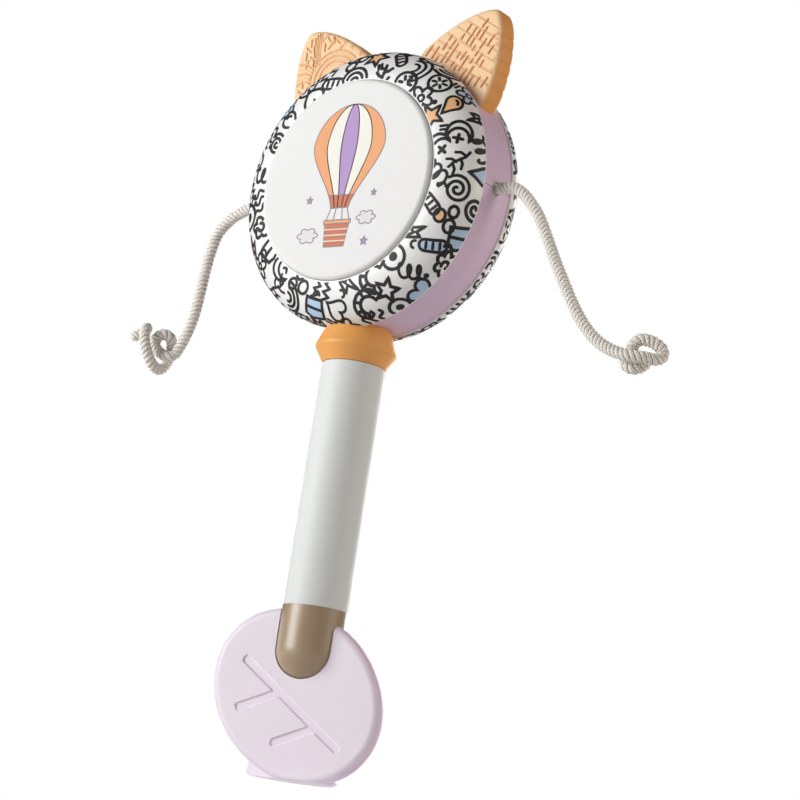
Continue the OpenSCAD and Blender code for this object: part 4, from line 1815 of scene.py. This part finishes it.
@dataclass
class LeafPlate:
    """Leaf plate with vein grooves that clips round the end cap."""
    half_len: float = 0.0298
    half_wide: float = 0.0245
    thick: float = 0.0064
    edge: float = 0.0024
    # Width of the painted shade along the rim.
    rim_shade_wide: float = 0.002
    sharp: float = 42.0
    tilt: float = 35.5
    shift: float = 0.0004
    forward: float = 0.002
    foot_turn: float = 17.0
    foot_cut: float = 0.0012
    vein_half: float = 0.00135
    vein_deep: float = 0.0005
    vein_soft: float = 0.00016
    vein_low: float = 0.0027
    side_len: float = 0.0138
    side_turn: float = 60.0
    side_at: tuple[float, ...] = (-0.14, 0.41)
    vein_ends: tuple[float, float] = (-0.65, 0.72)
    rounds: int = 110
    ring_mix: Point2 = (0.8, 0.2)
    sectors: int = 360
    back_rounds: int = 22
    cap_r: float = 0.0105
    cap_z: float = 0.0392
    cap_top: float = 0.0524
    cap_steps: int = 24
    cap_sides: int = 96

    def centre_z(self) -> float:
        """Height of the leaf's middle above the floor."""
        turn = math.radians(self.tilt)
        return math.hypot(self.half_len * math.sin(turn),
                          self.half_wide * math.cos(turn)) - self.foot_cut

    def veins(self) -> Lines2:
        """Veins of the leaf.

        Returns:
            Centre lines of their grooves.
        """
        first, last = (share * self.half_len for share in self.vein_ends)
        low = -self.vein_low
        lines = [[(first, low), (last, low)]]
        across, up = polar(self.side_len, math.radians(-180 + self.side_turn))
        for share in self.side_at:
            at = share * self.half_len
            lines.append([(at, low), (at + across, low + up)])
        return lines

    def _cut(self, spots: np.ndarray) -> np.ndarray:
        """How deep each spot lies in a vein."""
        half, soft = self.vein_half - self.vein_soft, self.vein_soft
        return self.vein_deep * groove_depth(spots, self.veins(), half, soft)

    def _placed(self, x: float, y: float, z: float) -> Point3:
        """Point of the leaf in the shared frame.

        Args:
            x: Place along the leaf.
            y: Place across it.
            z: Place towards its front.

        Returns:
            The point.
        """
        tilt, turn = math.radians(-self.tilt), math.radians(self.foot_turn)
        across = x * math.cos(tilt) - y * math.sin(tilt) - self.shift
        up = x * math.sin(tilt) + y * math.cos(tilt) + self.centre_z()
        back = -z - self.forward
        return (across * math.cos(turn) - back * math.sin(turn),
                across * math.sin(turn) + back * math.cos(turn), up)

    def _face(self, rounds: int) -> tuple[np.ndarray, np.ndarray]:
        """Places of one face from the outline inwards.

        Args:
            rounds: Number of rings.

        Returns:
            The places and their distances from the outline.
        """
        level = np.linspace(0, 1, rounds)
        even, eased = self.ring_mix
        scale = 1 - (even * level + eased * level ** 2)
        turn = np.arange(self.sectors) * math.tau / self.sectors
        rim = np.stack((self.half_len * np.cos(turn), self.half_wide * np.sin(turn)), 1)
        spots = np.concatenate([rim * s for s in scale[:-1]])
        return spots, line_distance(spots, np.concatenate((rim, rim[:1])))

    def build(self) -> bpy.types.Object:
        """Makes the leaf.

        Returns:
            The leaf's piece.
        """
        front, inside = self._face(self.rounds)
        rise = self.thick / 2 - rim_drop(inside, self.edge) - self._cut(front)
        rear, rear_inside = self._face(self.back_rounds)
        fall = -self.thick / 2 + rim_drop(rear_inside, self.edge)
        verts = [self._placed(x, y, z) for (x, y), z in zip(front, rise)]
        verts += [self._placed(x, y, z) for (x, y), z in zip(rear, fall)]
        middle = self.thick / 2 - float(self._cut(np.zeros((1, 2)))[0])
        verts += [self._placed(0, 0, middle), self._placed(0, 0, -self.thick / 2)]
        count, total = self.sectors, len(front)
        faces = self._skin(0, self.rounds - 1, len(verts) - 2, False)
        faces += self._skin(total, self.back_rounds - 1, len(verts) - 1, True)
        faces += [(k, total + k, total + (k + 1) % count, (k + 1) % count) for k in range(count)]
        mesh = bpy.data.meshes.new("leaf_pad")
        mesh.from_pydata(verts, [], faces)
        # Mask of the painted shade along the rim.
        edges = np.concatenate((inside, rear_inside, [self.rim_shade_wide] * 2))
        note(mesh, "rim", np.clip(1 - edges / self.rim_shade_wide, 0, 1))
        work = bmesh.new()
        work.from_mesh(mesh)
        whole = work.verts[:] + work.edges[:] + work.faces[:]
        bmesh.ops.bisect_plane(work, geom=whole, plane_co=(0, 0, 0), plane_no=(0, 0, 1),
                               clear_inner=True)
        bmesh.ops.holes_fill(work, edges=[e for e in work.edges if e.is_boundary], sides=0)
        bmesh.ops.recalc_face_normals(work, faces=work.faces)
        work.to_mesh(mesh)
        work.free()
        mesh.materials.append(LEAF_LILAC.material())
        pad = link("leaf_pad", mesh)
        cutter = self._cutter()
        notch = pad.modifiers.new("cap_notch", "BOOLEAN")
        notch.object = cutter
        notch.operation = "DIFFERENCE"
        notch.solver = "EXACT"
        piece = evaluated(pad, "leaf_with_veins")
        bpy.data.objects.remove(cutter)
        shade(piece.data, self.sharp)
        return settle(piece, DRUM_BODY, "pale_leaf", "leaf_plate")

    def _skin(self, first: int, rounds: int, middle: int, flip: bool) -> list[tuple[int, ...]]:
        """Faces of one side.

        Args:
            first: Number of its first point.
            rounds: Number of rings.
            middle: Number of its middle point.
            flip: Whether the faces turn the other way.

        Returns:
            The faces.
        """
        count = self.sectors
        faces = ring_faces(first, rounds, count)
        last = first + (rounds - 1) * count
        faces += [(last + k, last + (k + 1) % count, middle) for k in range(count)]
        return [face[::-1] for face in faces] if flip else faces

    def _cutter(self) -> bpy.types.Object:
        """Makes the form of the end cap that the leaf clips round.

        Returns:
            The form, which is removed after the cut.
        """
        steps, sides = self.cap_steps, self.cap_sides
        turns = [math.pi / 2 * i / steps for i in range(1, steps + 1)]
        profile = [(self.cap_r * math.sin(a), self.cap_z - self.cap_r * math.cos(a)) for a in turns]
        profile.append((self.cap_r, self.cap_top))
        verts = [(*polar(r, math.tau * k / sides), z) for r, z in profile for k in range(sides)]
        verts += [(0, 0, self.cap_z - self.cap_r), (0, 0, self.cap_top)]
        faces = ring_faces(0, len(profile), sides)
        last = (len(profile) - 1) * sides
        for k in range(sides):
            n = (k + 1) % sides
            faces.append((n, k, len(verts) - 2))
            faces.append((last + k, last + n, len(verts) - 1))
        mesh = bpy.data.meshes.new("cap_cutter")
        mesh.from_pydata(verts, [], faces)
        return link("cap_cutter", mesh)


@dataclass
class MouldedParts:
    """Solids that keep their shape and get a finish."""
    finishes: dict[str, Finish] = field(default_factory=lambda: {
        "front_shell": SHELL_WHITE, "rear_shell": SHELL_WHITE, "front_skin": SKIN_WHITE,
        "rear_skin": SKIN_WHITE, "upper_band": BAND_LILAC, "lower_band": BAND_LILAC,
        "collar": COLLAR_ORANGE, "handle_tube": GRIP_WHITE, "neck_stem": GRIP_WHITE,
        "end_cap": CAP_TAUPE, "rear_foot": LEAF_LILAC, "shell_screws": SCREW_STEEL,
        "left_rope_anchor": ROPE_CORE, "right_rope_anchor": ROPE_CORE})

    def dress(self) -> None:
        """Gives each solid its finish."""
        for node, finish in self.finishes.items():
            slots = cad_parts[node].data.materials
            slots.clear()
            slots.append(finish.material())
            log.info("%s: %s", node, finish.name)


def main() -> None:
    """Builds the scene in order."""
    logging.basicConfig(level=logging.INFO, format="%(name)s: %(message)s")
    camera = PhotoCamera()
    camera.build()
    rope = RopeTree().build()
    Striker(Side.LEFT, LEFT_ROUTE, rope).build()
    Striker(Side.RIGHT, RIGHT_ROUTE, rope).build()
    Studio(camera).build()
    MouldedParts().dress()
    LeafPlate().build()
    # The left ear's grooves take half of the painted groove shade.
    EngravedEar(Side.LEFT, 5, groove_half=0.00016, groove_soft=0.00034, painted_groove_shade=0.5).build()
    EngravedEar(Side.RIGHT, 8, groove_half=0.0002).build()
    for face, seed in ((Face.FRONT, 21), (Face.REAR, 34)):
        ShellPrint(face, seed).build()
    BalloonPicture().build()


if __name__ == "__main__":
    main()
